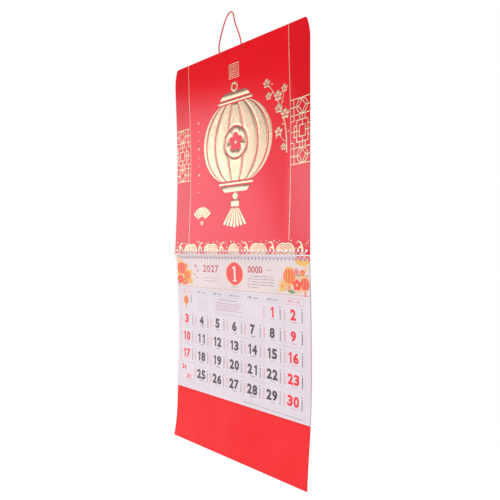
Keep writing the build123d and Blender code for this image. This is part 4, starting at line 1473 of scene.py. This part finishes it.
# The days: red at the week's ends and on the first, with a column of fine print at each side, a small
# mark and a line below. The last row's first place holds two days, one at its upper left and one at its
# lower right.
pair_left, pair_below = -1.0, 2  # how far the middle of the two lies from the place's own
pair_shift_x, pair_shift_drop, pair_height, pair_advance = 8.0, 8.3, 9.2, 6.8
pair_note_x, pair_note_drop, pair_note_height = 11, 15.3, 0.9
pair_note_left, pair_note_right = 3, 4
left_column, left_lowered, left_sign = -20.0, 1.5, 2.7
right_column, right_lowered, right_sign = 16.6, 2.8, 2.6
column_signs = 5
mark_x, mark_raised, mark_size = 16.2, 9.4, 1.8
note_half, note_lowered, note_height = 6, 12.2, 1.4
for day in range(1, day_count + 1):
    row, column = divmod(day - 1 + first_weekday, 7)
    x = first_column + column_pitch * column
    festive = column in (0, 6) or day == 1
    if day in (24, 31):
        side = -1 if day == 24 else 1
        drop = first_row + 4 * row_pitch + pair_below
        day_x, day_drop = x + pair_left + pair_shift_x * side, drop + pair_shift_drop * side
        number(str(day), day_x, day_drop, pair_height, pair_advance, "red")
        note_x, note_drop = x + pair_note_x * side, drop + pair_note_drop * side
        fine_line(note_x - pair_note_left, note_x + pair_note_right, note_drop, pair_note_height, "pink")
        continue
    drop = first_row + row_pitch * row
    number(str(day), x + digit_shift, drop, digit_height, digit_advance, "red" if festive else "dark")
    fine_column(x + left_column, drop + left_lowered, column_signs, left_sign, "pink")
    right_ink = "dark" if festive and column else "grey"
    fine_column(x + right_column, drop + right_lowered, column_signs, right_sign, right_ink)
    leaf_print.blocks(x + mark_x, drop - mark_raised, mark_size, mark_size, "dark")
    note_ink = "pink" if festive else "grey"
    fine_line(x - note_half, x + note_half, drop + note_lowered, note_height, note_ink)
fine_line(first_column + 3.5 * column_pitch, grid_right, 258.5, 1.1, "grey")

printed_ink, ink_tree, ink_shader = add_material(
    "printed_ink", {"Roughness": 0.46, "Specular IOR Level": 0.4}
)
ink_colour = add_node(ink_tree, "ShaderNodeAttribute", {"attribute_name": "ink"}).outputs["Color"]
density = ramp(ink_tree, grained(ink_tree, ink_shader, 1100.0, 0.12), [(0.3, 0.93), (0.7, 1.0)])
ink_tree.links.new(mixed(ink_tree, 1.0, ink_colour, density, "MULTIPLY"), ink_shader.inputs["Base Color"])

printed_month = add_piece(
    "printed_month", np.vstack(leaf_print.points), leaf_print.faces, "pad", "printed_leaves", [printed_ink]
)
colour_layer = printed_month.data.attributes.new("ink", "FLOAT_COLOR", "CORNER")
colour_layer.data.foreach_set("color", np.c_[leaf_print.colours, np.ones(len(leaf_print.colours))].ravel())
thicken(printed_month, film)


# Back card
# A longer red card, punched like the leaves and hung behind them on the same wire. It stiffens the pad
# and shows below it. Its lower end bows forward, so it mirrors the room above and not the softbox, and
# keeps its deep red.
card_stand, card_thickness = 2.5, 0.45
card_tail = 101.0
tail_bow_left = (2.3, -6.8)
tail_bow_right = (-4.8, -6.4)


def tail_bow(bow, tail):
    """The tail's own bow: it leaves the pad's lower edge in the direction that the card has there."""
    slope = (bow[-1] - bow[-2]) * (len(bow) - 1) / leaf_height
    return bow[-1], bow[-1] + slope * card_tail / (len(tail) + 1), *tail


def card_y(x, drop):
    """The front of the card: behind the pad down to its lower edge, and then the tail's bow."""
    way = x / leaf_width + 0.5
    behind = leaf_y(x, np.minimum(drop, leaf_height)) - pad_stand + card_stand
    share = np.clip((drop - leaf_height) / card_tail, 0, 1)
    left, right = tail_bow(pad_bow_left, tail_bow_left), tail_bow(pad_bow_right, tail_bow_right)
    below = plane_y + card_stand + bezier(left, share) * (1 - way) + bezier(right, share) * way
    return np.where(drop > leaf_height, below, behind)


card_rows = np.concatenate([leaf_rows, leaf_height + np.linspace(0, card_tail, 21)[1:]])
card_x, card_drop = np.meshgrid(leaf_columns, card_rows)
card_points = np.stack([card_x, card_y(card_x, card_drop), leaf_top - card_drop], axis=-1)
card_faces = grid_faces(*card_x.shape)[~in_wire_hole(leaf_columns, card_rows, leaf_hole_drop)].tolist()
card_red, card_tree, card_shader = add_material(
    "card_red", {"Roughness": 0.6, "Specular IOR Level": 0.1, "Coat Weight": 0.12, "Coat Roughness": 0.3}
)
drift = grained(card_tree, card_shader, 700.0, 0.12)
coloured(card_tree, card_shader, drift, srgb(252, 44, 48), srgb(255, 50, 54))
card = thick_card(
    "red_back_card", card_points.reshape(-1, 3), card_faces, card_thickness, "card", "red_card",
    [card_red, card_back, card_core],
)
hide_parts("back_card")
